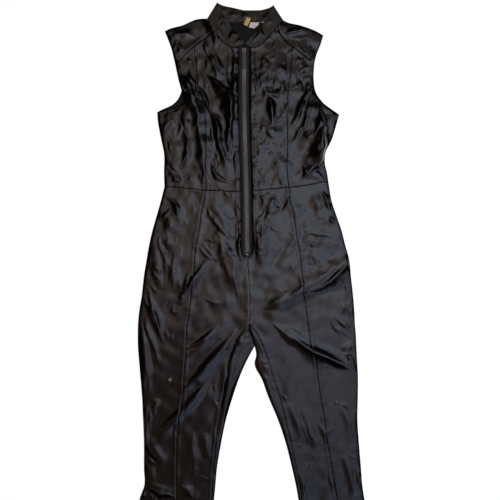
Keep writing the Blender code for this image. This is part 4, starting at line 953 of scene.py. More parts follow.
def leg_lines(hand):
    """The edges of one leg, row by row: side, princess, inner edge on the front, centre back with
    the turned edge."""
    waist_side = SEAMS[f"waist_side_{hand}"]
    side, princess = (at_heights([start] + leg_edge(hand, column), leg_heights(start[1]))
                      for start, column in ((waist_side[-1], "side"), (waist_side[0], "princess")))
    ys = leg_heights(SEAMS["centre_back"][0][1])
    zip_ys = np.linspace(SEAMS[f"waist_centre_{hand}"][0][1], ZIP_FOOT, ZIP_ROWS + 1)
    front = joined(at_heights(SEAMS[f"zip_end_{hand}"], zip_ys),
                   at_heights(SEAMS["centre_front"], ys[ZIP_ROWS:CROTCH_ROW + 1]),
                   at_heights(leg_edge(hand, "inseam"), ys[CROTCH_ROW:]))
    back = joined(at_heights(SEAMS["centre_back"], ys[:CROTCH_ROW + 1]),
                  at_heights(SEAMS["crotch"], ys[CROTCH_ROW:PARTING_ROW + 1]),
                  at_heights(leg_edge(hand, "turn")[CROTCH_LINES:], ys[PARTING_ROW:]))
    return {"side": side, "princess": princess, "front": front, "back": back}


def free_edges(legs):
    """Every free edge of the front: shoulders, armholes, side seams and turned inner legs."""
    lines = []
    for hand in HANDS:
        lines += [spaced(f"{name}_{hand}", EDGE_STEPS)
                  for name in ("shoulder", "yoke_armhole", "armhole", "underarm", "side")]
        lines.append(legs[hand]["side"][::FINE])
        lines.append(legs[hand]["back"][PARTING_ROW - 4::FINE])
    return segments(lines)


# ---- meshes ------------------------------------------------------------------------------------------
def grid_surface(name, points, heights):
    """A mesh over a grid of points, facing up, without the points that have no place (nan).  Its UV
    map "cloth" gives the distance over and down the grid, in metres."""
    rows, columns = heights.shape
    there = np.isfinite(points[..., 0])
    number = np.cumsum(there.ravel()).reshape(rows, columns) - 1
    whole = there[:-1, :-1] & there[1:, :-1] & there[1:, 1:] & there[:-1, 1:]
    quads = np.stack([number[:-1, :-1], number[1:, :-1], number[1:, 1:], number[:-1, 1:]], axis=-1)[whole]
    verts = np.dstack([points, heights])[there] * MM
    a, b, c = (verts[quads[:, k]] for k in (0, 1, 3))
    if np.cross(b - a, c - a)[:, 2].sum() < 0:
        quads = quads[:, ::-1]
    away = grid_runs(np.nan_to_num(points, nan=0.0))
    return quad_mesh(name, verts, quads, np.stack([away["first"], away["top"]], axis=-1)[there] * MM)


def quad_mesh(name, verts, quads, cloth=None):
    """A smooth-shaded mesh from arrays of vertices (metres), quads and, for cloth, its map.  Its
    open edges are sharp."""
    mesh = bpy.data.meshes.new(name)
    mesh.vertices.add(len(verts))
    mesh.vertices.foreach_set("co", np.ascontiguousarray(verts, dtype=np.float32).ravel())
    mesh.loops.add(quads.size)
    mesh.loops.foreach_set("vertex_index", quads.ravel().astype(np.int32))
    mesh.polygons.add(len(quads))
    mesh.polygons.foreach_set("loop_start", np.arange(0, quads.size, quads.shape[1], dtype=np.int32))
    if cloth is not None:
        layer = mesh.uv_layers.new(name="cloth")
        layer.data.foreach_set("uv", cloth[quads.ravel()].astype(np.float32).ravel())
    mesh.update(calc_edges=True)
    mesh.shade_smooth()
    edge_of = np.empty(len(mesh.loops), dtype=np.int32)
    mesh.loops.foreach_get("edge_index", edge_of)
    rim = np.bincount(edge_of, minlength=len(mesh.edges)) == 1
    mesh.attributes.new("sharp_edge", "BOOLEAN", "EDGE").data.foreach_set("value", rim)
    return mesh


def tube_quads(rings, sides):
    """Quads round a tube of rings of points."""
    start = np.arange(rings - 1)[:, None] * sides
    k = np.arange(sides)
    beside = (k + 1) % sides
    return np.stack([start + k, start + beside, start + sides + beside, start + sides + k],
                    axis=-1).reshape(-1, 4)


def repeated(quads, copies, count):
    """The quads of one form of count points, for each of its copies."""
    return (np.arange(copies)[:, None, None] * count + quads).reshape(-1, 4)


def new_object(name, data):
    """An object at the origin of the scene."""
    made = bpy.data.objects.new(name, data)
    bpy.context.scene.collection.objects.link(made)
    return made


def add_piece(name, mesh, look, replaces=()):
    """An object for a mesh, which rides on the garment."""
    piece = new_object(name, mesh)
    mesh.materials.append(material(look))
    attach(piece, GARMENT)
    if replaces:
        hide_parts(*replaces)
    return piece


def add_cloth(node, points, heights, look, wall, offset=-1.0, made_of="cloth"):
    """A grid of cloth with a wall, which stands for a node.  The wall lies under the grid, or at
    offset 0 to both sides of it."""
    LAID[node] = (points, heights)
    piece = add_piece(f"{node}_{made_of}", grid_surface(node, points, heights), look, [node])
    shell = piece.modifiers.new("Wall", "SOLIDIFY")
    shell.thickness = wall * MM
    shell.offset = offset
    shell.use_quality_normals = True
    return piece


def spans(points):
    """Width and length in metres of the box round a grid."""
    return [float(np.nanmax(values) - np.nanmin(values)) * MM for values in plan(points)]


# ---- materials ---------------------------------------------------------------------------------------
def add_node(tree, kind, inputs, **settings):
    """A shader node: its settings, then its inputs, each fed by a socket or set to a value."""
    node = tree.nodes.new(f"ShaderNode{kind}")
    for name, value in settings.items():
        setattr(node, name, value)
    for name, value in inputs.items():
        if isinstance(value, bpy.types.NodeSocket):
            tree.links.new(value, node.inputs[name])
        else:
            node.inputs[name].default_value = value
    return node


def new_group(name, **inputs):
    """A shader node group with a vector and other named inputs, of the kinds that their defaults
    have: its tree and its input sockets."""
    tree = bpy.data.node_groups.new(name, "ShaderNodeTree")
    tree.interface.new_socket("Vector", in_out="INPUT", socket_type="NodeSocketVector")
    for label, default in inputs.items():
        kind = {3: "Vector", 4: "Color"}[len(default)] if isinstance(default, tuple) else "Float"
        socket = tree.interface.new_socket(label, in_out="INPUT", socket_type=f"NodeSocket{kind}")
        socket.default_value = default
    return tree, tree.nodes.new("NodeGroupInput").outputs


def end_group(tree, **outputs):
    """Give a group its named outputs, each fed by a socket of its own kind."""
    sink = tree.nodes.new("NodeGroupOutput")
    for label, value in outputs.items():
        kind = "Color" if value.type == "RGBA" else "Float"
        tree.interface.new_socket(label, in_out="OUTPUT", socket_type=f"NodeSocket{kind}")
        tree.links.new(value, sink.inputs[label])


def math_node(tree, operation, *values):
    """A Math node fed by sockets or numbers."""
    return add_node(tree, "Math", dict(enumerate(values)), operation=operation).outputs[0]


def noise_node(tree, vector, scale, detail=2.0):
    """A Noise Texture read at a vector: its factor."""
    return add_node(tree, "TexNoise", {"Vector": vector, "Scale": scale, "Detail": detail}).outputs[0]


def mix_node(tree, share, first, second):
    """One colour at share 0 and the other at share 1."""
    return add_node(tree, "Mix", {"Factor": share, 6: first, 7: second}, data_type="RGBA").outputs[2]


def wrinkle_group():
    """Fine wrinkles: two sizes of noise, the smaller one counting for less."""
    tree, given = new_group("Fine Wrinkles", Scale=60.0)
    broad = noise_node(tree, given["Vector"], given["Scale"])
    fine = noise_node(tree, given["Vector"], math_node(tree, "MULTIPLY", given["Scale"], 2.6), 1.0)
    end_group(tree, Height=math_node(tree, "MULTIPLY_ADD", fine, 0.3, broad))


def weave_group():
    """Threads over and under: sin(u)·sin(v) at a thread's spacing."""
    tree, given = new_group("Weave", Threads=2000.0)
    place = add_node(tree, "SeparateXYZ", {0: given["Vector"]}).outputs
    waves = [math_node(tree, "SINE", math_node(tree, "MULTIPLY", place[k], given["Threads"])) for k in (0, 1)]
    end_group(tree, Height=math_node(tree, "MULTIPLY", *waves))


def tone_group():
    """Uneven tone: a soft noise that moves between two colours and two roughnesses."""
    tree, given = new_group("Uneven Tone", Scale=12.0, Dark=(0, 0, 0, 1), Light=(1, 1, 1, 1), Smooth=0.3,
                            Rough=0.4)
    noise = noise_node(tree, given["Vector"], given["Scale"], 3.0)
    span = math_node(tree, "SUBTRACT", given["Rough"], given["Smooth"])
    end_group(tree, Color=mix_node(tree, noise, given["Dark"], given["Light"]),
              Roughness=math_node(tree, "MULTIPLY_ADD", noise, span, given["Smooth"]))


def spot_group():
    """A round mark with a ragged edge: 1 inside the radius, 0 outside."""
    tree, given = new_group("Spot", Centre=(0, 0, 0), Radius=0.004)
    flat = add_node(tree, "VectorMath", {0: given["Vector"], 1: (1, 1, 0)}, operation="MULTIPLY").outputs[0]
    gap = add_node(tree, "VectorMath", {0: flat, 1: given["Centre"]}, operation="DISTANCE").outputs["Value"]
    ragged = math_node(tree, "ADD", noise_node(tree, given["Vector"], 300.0), 0.5)
    reach = math_node(tree, "MULTIPLY", given["Radius"], ragged)
    end_group(tree, Mask=math_node(tree, "LESS_THAN", math_node(tree, "DIVIDE", gap, reach), 1.0))


def shade_band_group():
    """Mask of the tape's painted shade: 0 on the near side of a strip, 1 on the far side, as the first
    coordinate goes from Start to End.
    """
    tree, given = new_group("Margin", Start=0.01, End=0.02)
    across = add_node(tree, "SeparateXYZ", {0: given["Vector"]}).outputs["X"]
    ramp = add_node(tree, "MapRange", {"Value": across, "From Min": given["Start"], "From Max": given["End"]})
    end_group(tree, Mask=ramp.outputs[0])


def new_material(name, tones, roughness, scale, mark=None, relief=None, **uniform):
    """A material of uneven tone: two colours, two roughnesses and the noise's scale.  A mark is a
    group with its values that turns the colour to a shade; a relief is one with its depth (mm).
    Other values are the shader's own."""
    made = bpy.data.materials.new(name)
    made.use_nodes = True
    tree = made.node_tree
    shader = tree.nodes["Principled BSDF"]
    place = tree.nodes.new("ShaderNodeTexCoord").outputs

    def group(label, vector="Object", **values):
        """The named outputs of a node group read at Object or UV coordinates."""
        return add_node(tree, "Group", {"Vector": place[vector], **values},
                        node_tree=bpy.data.node_groups[label]).outputs

    dark, light = ((*tone, 1) for tone in tones)
    tone = group("Uneven Tone", Scale=scale, Dark=dark, Light=light, Smooth=roughness[0], Rough=roughness[1])
    colour = tone["Color"]
    if mark:
        label, values, shade = mark
        colour = mix_node(tree, group(label, **values)["Mask"], colour, (*shade, 1))
    tree.links.new(colour, shader.inputs["Base Color"])
    tree.links.new(tone["Roughness"], shader.inputs["Roughness"])
    if relief:
        label, values, depth = relief
        bump = add_node(tree, "Bump", {"Distance": depth * MM, "Height": group(label, **values)["Height"]})
        tree.links.new(bump.outputs[0], shader.inputs["Normal"])
    for socket, value in uniform.items():
        shader.inputs[socket].default_value = value
    return made


def shaded(colour, dark, light=1.0):
    """A darker and a lighter tone of a colour."""
    return [[min(1, c * share) for c in colour] for share in (dark, light)]


def cloth_material(name, colour, dark, roughness, wrinkles, specular=0.5, mark=None):
    """Cloth with fine wrinkles."""
    return new_material(name, shaded(colour, dark), roughness, 9.0, mark,
                        ("Fine Wrinkles", {"Scale": 70.0}, wrinkles), **{"Specular IOR Level": specular})


def woven_material(name, colour, threads, depth, roughness=0.8, specular=0.5, mark=None):
    """Tape, ribbon, label or thread, with its weave."""
    return new_material(name, shaded(colour, 0.8), (roughness - 0.05, roughness + 0.1), 80.0, mark,
                        ("Weave", {"Threads": threads}, depth), **{"Specular IOR Level": specular})


def metal_material(name, colour, roughness, dark=0.8, light=1.0, scale=400.0):
    """Cast and plated metal."""
    return new_material(name, shaded(colour, dark, light), roughness, scale, Metallic=1.0)


def make_looks():
    """The node groups and then the materials."""
    for make in (tone_group, wrinkle_group, weave_group, spot_group, shade_band_group):
        make()
    cloth, zips = bpy.context.scene.jumpsuit_cloth, bpy.context.scene.jumpsuit_zip
    x, y, radius = STAIN
    stain = ("Spot", {"Centre": (x * MM, y * MM, 0), "Radius": radius * MM}, STAIN_SHADE)
    start, end = TAPE_SHADE_SPAN
    # painted shadow: the tape's outer strip is darkened where the turned cloth edge would shade it
    tape_shade = ("Margin", {"vector": "UV", "Start": start * MM, "End": end * MM}, TAPE_PAINTED_SHADE)
    LOOKS.update(
        satin=cloth_material("satin", cloth.satin, 0.7, (cloth.gloss, cloth.gloss + 0.06), 0.10, mark=stain),
        dull=cloth_material("satin_dull_side", cloth.satin, 0.8, (0.55, 0.65), 0.10, 0.3),
        collar=cloth_material("collar_cloth", cloth.collar, 0.85, (0.23, 0.30), 0.06, 0.40),
        tape=woven_material("zip_tape", zips.tape, 4200.0, 0.10, specular=0.3, mark=tape_shade),
        thread=woven_material("thread", (0.004, 0.004, 0.004), 6000.0, 0.05, 0.7, 0.1),
        ribbon=woven_material("yellow_ribbon", (0.85, 0.64, 0.18), 5200.0, 0.08),
        label=woven_material("white_label", (0.80, 0.80, 0.78), 6200.0, 0.05),
        # the teeth's colour varies at random in broad patches, from a quarter to nearly twice its own: partly
        # tone, partly painted glints and dull stretches along the chain
        teeth=metal_material("zip_teeth", zips.teeth, (0.25, 0.5), 0.25, 1.9, 16.0),
        metal=metal_material("zip_slider_metal", zips.metal, (0.3, 0.4)),
        pull=metal_material("zip_pull_metal", zips.pull, (0.35, 0.5)),
    )


def material(look):
    """A material by its name; the first call makes them all."""
    if not LOOKS:
        make_looks()
    return LOOKS[look]


def finish_nodes(**looks):
    """Give solids that show as they are their materials."""
    for node, look in looks.items():
        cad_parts[node].material_slots[0].material = material(look)


# ---- stitching -----------------------------------------------------------------------------------------
def beside(points, heights, side, distance):
    """The line on a laid grid that runs at a distance from its first or last edge."""
    line = []
    for place, height, gap in zip(points, heights, grid_runs(points)[side]):
        order = np.argsort(gap)
        line.append([np.interp(distance, gap[order], values[order]) for values in (*place.T, height)])
    return np.array(line)


def stitches(lines):
    """Stitches along lines: each a tube of four rings of five points that is thinner at its ends."""
    shares, widths = np.array([(0, 0.45), (0.15, 1), (0.85, 1), (1, 0.45)]).T
    sides = 5
    angle = np.arange(sides)[:, None] * 2 * math.pi / sides
    tubes = []
    for line in lines:
        along = runs(line)
        starts = np.arange(0.5, along[-1] - STITCH_LENGTH, STITCH_PITCH)
        at = starts[:, None] + shares * STITCH_LENGTH
        place = np.stack([np.interp(at, along, values) for values in line.T], axis=-1)
        run = place[:, -1] - place[:, 0]
        run /= np.linalg.norm(run, axis=1)[:, None]
        across = np.stack([-run[:, 1], run[:, 0], np.zeros(len(run))], axis=1)
        across /= np.linalg.norm(across, axis=1)[:, None]
        ring = (across[:, None, None] * np.cos(angle)
                + np.cross(run, across)[:, None, None] * np.sin(angle))
        tubes.append(place[:, :, None] + ring * (THREAD * widths)[:, None, None])
    tubes = np.vstack(tubes)
    quads = repeated(tube_quads(len(shares), sides), len(tubes), len(shares) * sides)
    return tubes.reshape(-1, 3) * MM, quads


# ---- settings ------------------------------------------------------------------------------------------
class JumpsuitCloth(bpy.types.PropertyGroup):
    """Colours and relief of the cloth."""
    satin: FloatVectorProperty(name="Satin", description="Colour of the satin", subtype="COLOR",
                               size=3, min=0, max=1, default=(0.0022, 0.0018, 0.0016))
    collar: FloatVectorProperty(name="Collar", description="Colour of the collar's dull side",
                                subtype="COLOR", size=3, min=0, max=1, default=(0.008, 0.0072, 0.0046))
    gloss: FloatProperty(name="Satin roughness", description="Lower is glossier", subtype="FACTOR",
                         min=0.05, max=1, default=0.20)
    fold_depth: FloatProperty(name="Fold depth", description="Share of the folds' heights",
                              subtype="FACTOR", min=0, max=2, default=1.0)
    crease_depth: FloatProperty(name="Crease depth", description="Share of the creases' heights",
                                subtype="FACTOR", min=0, max=2, default=1.0)
    ripple_depth: FloatProperty(name="Ripple depth", description="Share of the ripples' heights",
                                subtype="FACTOR", min=0, max=2, default=1.0)


class JumpsuitZip(bpy.types.PropertyGroup):
    """Colours of the zip."""
    tape: FloatVectorProperty(name="Tape", description="Colour of the zip's tape", subtype="COLOR",
                              size=3, min=0, max=1, default=(0.050, 0.048, 0.050))
    teeth: FloatVectorProperty(name="Teeth", description="Colour of the teeth", subtype="COLOR",
                               size=3, min=0, max=1, default=(0.36, 0.365, 0.30))
    metal: FloatVectorProperty(name="Slider", description="Colour of the slider", subtype="COLOR",
                               size=3, min=0, max=1, default=(0.16, 0.15, 0.14))
    pull: FloatVectorProperty(name="Pull tab", description="Colour of the pull tab",
                              subtype="COLOR", size=3, min=0, max=1, default=(0.07, 0.07, 0.075))


class JumpsuitStage(bpy.types.PropertyGroup):
    """Light and ground."""
    key: FloatProperty(name="Key light", description="Radiance of the large cool light", min=0,
                       max=20, default=1.0)
    window: FloatProperty(name="Window", description="Radiance of the blue window above the waist",
                          min=0, max=20, default=1.0)
    ceiling: FloatProperty(name="Ceiling", description="Radiance of the warm ceiling over the waist",
                           min=0, max=20, default=0.85)
    far_wall: FloatProperty(name="Far wall", description="Radiance of the light beyond the collar",
                            min=0, max=20, default=0.5)
    fill: FloatProperty(name="Fill light", description="Radiance of the warm light on the wearer's right",
                        min=0, max=20, default=0.2)
    label_light: FloatProperty(name="Label light", description="Power of the beam on the labels (W)",
                               default=20.0, min=0.0)
    ground: FloatProperty(name="Ground", description="Glow of the white ground", min=0, max=5,
                          default=0.78)


# ---- operators -----------------------------------------------------------------------------------------
class JUMPSUIT_OT_front(bpy.types.Operator):
    """Lay the ten panels of the front over the back"""
    bl_idname = "jumpsuit.front"
    bl_label = "Front Panels"

    def execute(self, context):
        legs = {hand: leg_lines(hand) for hand in HANDS}
        edges = free_edges(legs)
        LAID.update(legs=legs, edges=edges)
        for hand in HANDS:
            for under, panels in (("back_bodice", self.bodice(hand)),
                                  (f"leg_back_{hand}", self.leg(hand, legs[hand]))):
                for name, (points, seams) in panels.items():
                    heights = front_height(*plan(points), edges) + self.relief(points, seams)
                    piece = add_cloth(f"{name}_{hand}", points, heights, "satin", FRONT_WALL)
        return {"FINISHED"}

    def bodice(self, hand):
        """Points of the centre panel, the side panel and the yoke, and what their edges are."""
        yoke_neck = spaced(f"yoke_neck_{hand}", NECK_ROWS)
        yoke_side = spaced(f"yoke_side_{hand}", SIDE_COLUMNS)
        princess = spaced(f"princess_{hand}", ARMHOLE_ROWS + SIDE_ROWS)
        centre = inset(coons(spaced(f"neck_front_{hand}", CENTRE_COLUMNS)[::-1],
                             spaced(f"waist_centre_{hand}", CENTRE_COLUMNS),
                             spaced(f"zip_edge_{hand}", NECK_ROWS + ARMHOLE_ROWS + SIDE_ROWS),
                             joined(yoke_neck, princess)))
        yoke = inset(coons(spaced(f"shoulder_{hand}", NECK_ROWS + SIDE_COLUMNS),
                           joined(yoke_neck, yoke_side), spaced(f"neck_yoke_{hand}", YOKE_ROWS),
                           spaced(f"yoke_armhole_{hand}", YOKE_ROWS)))
        return {
            "bodice_front": (centre, {"first": "zip", "last": "seam", "top": "seam", "bottom": "seam"}),
            "bodice_side": (self.side(hand, yoke_side, princess),
                            {"first": "seam", "top": "seam", "bottom": "seam"}),
            "yoke": (yoke, {"first": "seam", "bottom": "seam"}),
        }

    def side(self, hand, yoke_side, princess):
        """Points of a side panel: a patch beside the armhole and a wider one below it, which reaches
        on along the underarm to the side seam.  Above the underarm the grid has no place (nan)."""
        armhole = spaced(f"armhole_{hand}", ARMHOLE_ROWS)
        across = np.linspace(princess[ARMHOLE_ROWS], armhole[-1], SIDE_COLUMNS + 1)
        upper = coons(yoke_side, across, princess[:ARMHOLE_ROWS + 1], armhole)
        lower = coons(joined(across, spaced(f"underarm_{hand}", UNDERARM_COLUMNS)),
                      spaced(f"waist_side_{hand}", SIDE_COLUMNS + UNDERARM_COLUMNS),
                      princess[ARMHOLE_ROWS:], spaced(f"side_{hand}", SIDE_ROWS))
        none = np.full((ARMHOLE_ROWS, UNDERARM_COLUMNS, 2), np.nan)
        return np.vstack([np.hstack([inset(upper, ("top", "first"))[:-1], none]),
                          inset(lower, ("bottom", "first"))])

    def leg(self, hand, lines):
        """Points of a leg's centre and side panels, and what their edges are."""
        made = {}
        for name, top, first, last, columns in (
                ("leg_front", "waist_centre", "front", "princess", CENTRE_COLUMNS),
                ("leg_side", "waist_side", "princess", "side", SIDE_COLUMNS)):
            hem = np.linspace(lines[first][-1], lines[last][-1], columns + 1)
            points = inset(coons(spaced(f"{top}_{hand}", columns), hem, lines[first], lines[last]))
            made[name] = (points, {"top": "seam", "first": "seam", "bottom": "hem"})
        made["leg_front"][1].update(first="half zip", last="seam")
        return made

    def relief(self, points, seams):
        """Relief of a panel's own edges: seams, the turned zip edge and the hem."""
        away = grid_runs(points)
        relief = np.zeros(points.shape[:2])
        for side, kind in seams.items():
            gap, along = away[side], away["top" if side in ("first", "last") else "first"]
            if kind == "hem":
                relief += turned_height(gap, along, HEM_TURN, HEM_TURN[1], PUCKER)
                continue
            zipped = turned_height(gap, along, ZIP_TURN, ZIP_STITCH, ZIP_PUCKER)
            rows = np.arange(len(points))[:, None]
            sewn = {"seam": 1, "zip": 0, "half zip": smoothstep((rows - ZIP_ROWS + 6) / 6)}[kind]
            relief += sewn * seam_height(gap, along) + (1 - sewn) * zipped
        return relief


class JUMPSUIT_OT_backs(bpy.types.Operator):
    """Lay the back bodice, and the backs of the legs with their turned inner edges"""
    bl_idname = "jumpsuit.backs"
    bl_label = "Backs"

    def execute(self, context):
        points = self.bodice()
        piece = add_cloth("back_bodice", points, self.low(points), "dull", BACK_WALL, 0)
        for hand in HANDS:
            points, heights = self.leg(hand, LAID["legs"][hand])
            piece = add_cloth(f"leg_back_{hand}", points, heights, "satin", BACK_WALL, 0)
            # the cut has the turned strip laid out flat beside the back
            flat, strip = points[:, :BACK_COLUMNS + 1], points[:, BACK_COLUMNS:]
            width, length = spans(flat)
            width += float(np.nanmax(np.nansum(np.linalg.norm(np.diff(strip, axis=1), axis=2), axis=1))) * MM
        return {"FINISHED"}

    def low(self, points):
        """Middle of the back cloth: half its wall + broad folds + a little ripple, flat at the edges."""
        x, y = plan(points)
        fade = smoothstep(edge_distance(x, y, LAID["edges"]) / FOLD_FADE)
        ripple = np.maximum(0, ripple_height(x, y, seed=11))
        return BACK_WALL / 2 + fade * (fold_height(x, y, BACK_FOLDS) + BACK_RIPPLE * ripple)

    def bodice(self):
        """Points of the back: a patch between the armholes and a wider one below them, each wider
        by the two underarms.  Beside the armholes the grid has no place (nan)."""
        armhole, foot = SEAMS["back_armhole_right"], 4
        right_armhole = stepped(smooth_line(armhole[:foot + 1]), BACK_ARMHOLE_STEPS)
        right_under = stepped(smooth_line(armhole[foot:-1] + [SEAMS["side_right"][0]]),
                              BACK_UNDERARM_STEPS)
        left_armhole = stepped(joined(spaced("yoke_armhole_left", 9), spaced("armhole_left", 9)),
                               BACK_ARMHOLE_STEPS)
        top = joined(spaced("shoulder_right", BACK_SHOULDER_STEPS)[::-1],
                     spaced("back_neck_right", BACK_NECK_STEPS),
                     spaced("back_neck_left", BACK_NECK_STEPS)[::-1],
                     spaced("shoulder_left", BACK_SHOULDER_STEPS))
        across = np.linspace(right_armhole[-1], left_armhole[-1], len(top))
        upper = coons(top, across, right_armhole, left_armhole)
        wide = joined(right_under[::-1], across, spaced("underarm_left", BACK_UNDERARM_STEPS))
        waist = np.array([SEAMS["waist_side_right"][-1], SEAMS["centre_back"][0],
                          SEAMS["waist_side_left"][-1]], float)
        lower = coons(wide, stepped(waist, len(wide) - 1), spaced("side_right", BACK_SIDE_STEPS),
                      spaced("side_left", BACK_SIDE_STEPS))
        none = np.full((BACK_ARMHOLE_STEPS, BACK_UNDERARM_STEPS, 2), np.nan)
        return np.vstack([np.hstack([none, upper[:-1], none]), lower])

    def leg(self, hand, lines):
        """Grid of a leg's back: flat from side seam to inner leg, round the turned edge, and back on
        top as a strip to the inseam.  Above the crotch only the flat part has a place."""
        outward = -HANDS[hand]
        fold_row = CROTCH_ROW + 1
        inner, inseam = lines["back"], lines["front"]
        turn_x = inner[:, 0] - outward * (TURN_RADIUS + BACK_WALL / 2)
        end = inner.copy()
        end[:fold_row, 0] -= outward * 0.05
        end[fold_row:, 0] = turn_x[fold_row:]
        share = np.linspace(0, 1, BACK_COLUMNS + 1)[None, :, None]
        flat = (1 - share) * lines["side"][:, None] + share * end[:, None]
        low = self.low(flat)
        low[:, -1] = BACK_WALL / 2
        angles = np.radians(np.linspace(-90, 90, TURN_STEPS + 1))[1:]
        turned = np.stack([turn_x[:, None] + outward * TURN_RADIUS * np.cos(angles),
                           np.tile(inner[:, 1:], (1, TURN_STEPS))], axis=-1)
        rises = np.tile(BACK_WALL / 2 + TURN_RADIUS * (1 + np.sin(angles)), (len(inner), 1))
        seam = inseam + SEAM_GAP / 2 * inward(inseam, inner)
        share = np.linspace(0, 1, STRIP_COLUMNS + 1)[1:]
        strip = (1 - share[None, :, None]) * turned[:, -1:] + share[None, :, None] * seam[:, None]
        top = front_height(*plan(strip), LAID["edges"])
        gap = np.linalg.norm(strip - seam[:, None], axis=2)
        top += seam_height(gap, runs(seam)[:, None]) * smoothstep(gap[:, :1] / 6)
        lift = (2 * TURN_RADIUS + BACK_WALL - FRONT_EDGE_TOP + EDGE_DROP) * (1 - share) ** 2
        turned[:fold_row] = strip[:fold_row] = np.nan
        return (np.concatenate([flat, turned, strip], axis=1),
                np.concatenate([low, rises, top + lift - BACK_WALL / 2], axis=1))


class JUMPSUIT_OT_bands(bpy.types.Operator):
    """Lay the armhole bands round the armholes"""
    bl_idname = "jumpsuit.bands"
    bl_label = "Armhole Bands"

    def execute(self, context):
        for hand in HANDS:
            yoke, side = LAID[f"yoke_{hand}"][0], LAID[f"bodice_side_{hand}"][0]
            outer = joined(spaced(f"yoke_armhole_{hand}", YOKE_ROWS),
                           spaced(f"armhole_{hand}", ARMHOLE_ROWS),
                           spaced(f"underarm_{hand}", UNDERARM_COLUMNS))
            near = np.vstack([yoke[:, -2], side[1:ARMHOLE_ROWS + 1, SIDE_COLUMNS - 1],
                              side[ARMHOLE_ROWS + 1, SIDE_COLUMNS + 1:]])
            steps = np.linspace(0.1, BAND_WIDTH, BAND_COLUMNS + 1)
            points = outer[:, None] + steps[None, :, None] * inward(outer, near)[:, None]
            heights = front_height(*plan(points), LAID["edges"]) + BAND_RISE
            heights += pucker(runs(outer)[:, None], np.abs(steps - BAND_WIDTH)[None], BAND_PUCKER)
            piece = add_cloth(f"armhole_band_{hand}", points, heights, "satin", BAND_WALL)
        return {"FINISHED"}


class JUMPSUIT_OT_collar(bpy.types.Operator):
    """Make the doubled stand collar, which turns over at its two peaks"""
    bl_idname = "jumpsuit.collar"
    bl_label = "Collar"

    def execute(self, context):
        for hand in HANDS:
            points, heights = self.half(hand)
            piece = add_cloth(f"collar_{hand}", points, heights, "collar", COLLAR_WALL, 0)
            rounding = piece.modifiers.new("Rounding", "BEVEL")
            rounding.width = COLLAR_ROUND * MM
            rounding.segments = 2
            rounding.limit_method = "ANGLE"
            rounding.angle_limit = math.radians(50)
        return {"FINISHED"}

    def half(self, hand):
        """Grid of one half: it lies inside up from centre back to the peak, turns over, and comes
        down the front to the zip; rows run from the neck seam to the free edge."""
        outward = HANDS[hand]
        low, high = COLLAR_MIDDLE
        turn = (high - low) / 2
        neck_back = spaced(f"back_neck_{hand}", BACK_NECK_STEPS)[::-1]
        neck_front = joined(spaced(f"neck_yoke_{hand}", YOKE_ROWS),
                            spaced(f"neck_front_{hand}", CENTRE_COLUMNS))
        free_back = spaced(f"collar_back_{hand}", BACK_NECK_STEPS)
        free_front = spaced(f"collar_front_{hand}", YOKE_ROWS + CENTRE_COLUMNS)
        v = np.linspace(0, 1, COLLAR_ROWS + 1)[:, None]
        start = neck_back[-1] + PEAK_START * (free_back[-1] - neck_back[-1])
        axis = (1 - v) * start + v * free_back[-1] - [outward * (turn + COLLAR_WALL / 2), 0]
        free_back[-1] = free_front[0] = axis[-1]
        neck_back[-1] = neck_front[0] = axis[0]
        back = coons(neck_back, free_back, (1 - v) * neck_back[0] + v * free_back[0], axis)
        front = coons(neck_front, free_front, axis, (1 - v) * neck_front[-1] + v * free_front[-1])
        for grid in (back, front):
            grid[0, 1:-1] += SEAM_GAP / 2 * inward(grid[0], grid[1])[1:-1]
        back[:, 0] -= 0.2 * inward(back[:, 0], back[:, 1])

        angles = np.radians(np.linspace(-90, 90, TURN_STEPS + 1))[1:-1]
        turned = [(axis + [outward * turn * math.cos(a), 0])[:, None] for a in angles]
        rises = [np.full((COLLAR_ROWS + 1, 1), low + turn * (1 + math.sin(a))) for a in angles]
        inside = crease_height(*plan(back), COLLAR_INSIDE, [])
        inside *= smoothstep(np.linalg.norm(back - back[:, -1:], axis=2) / COLLAR_FADE[0])
        outside = crease_height(*plan(front), COLLAR_DARK, COLLAR_LIGHT)
        outside += COLLAR_RIPPLE * ripple_height(*plan(front), seed=5)
        outside *= smoothstep(np.linalg.norm(front - front[:, :1], axis=2) / COLLAR_FADE[1])
        return (np.concatenate([back, *turned, front], axis=1),
                np.concatenate([low + inside, *rises, high + outside], axis=1))


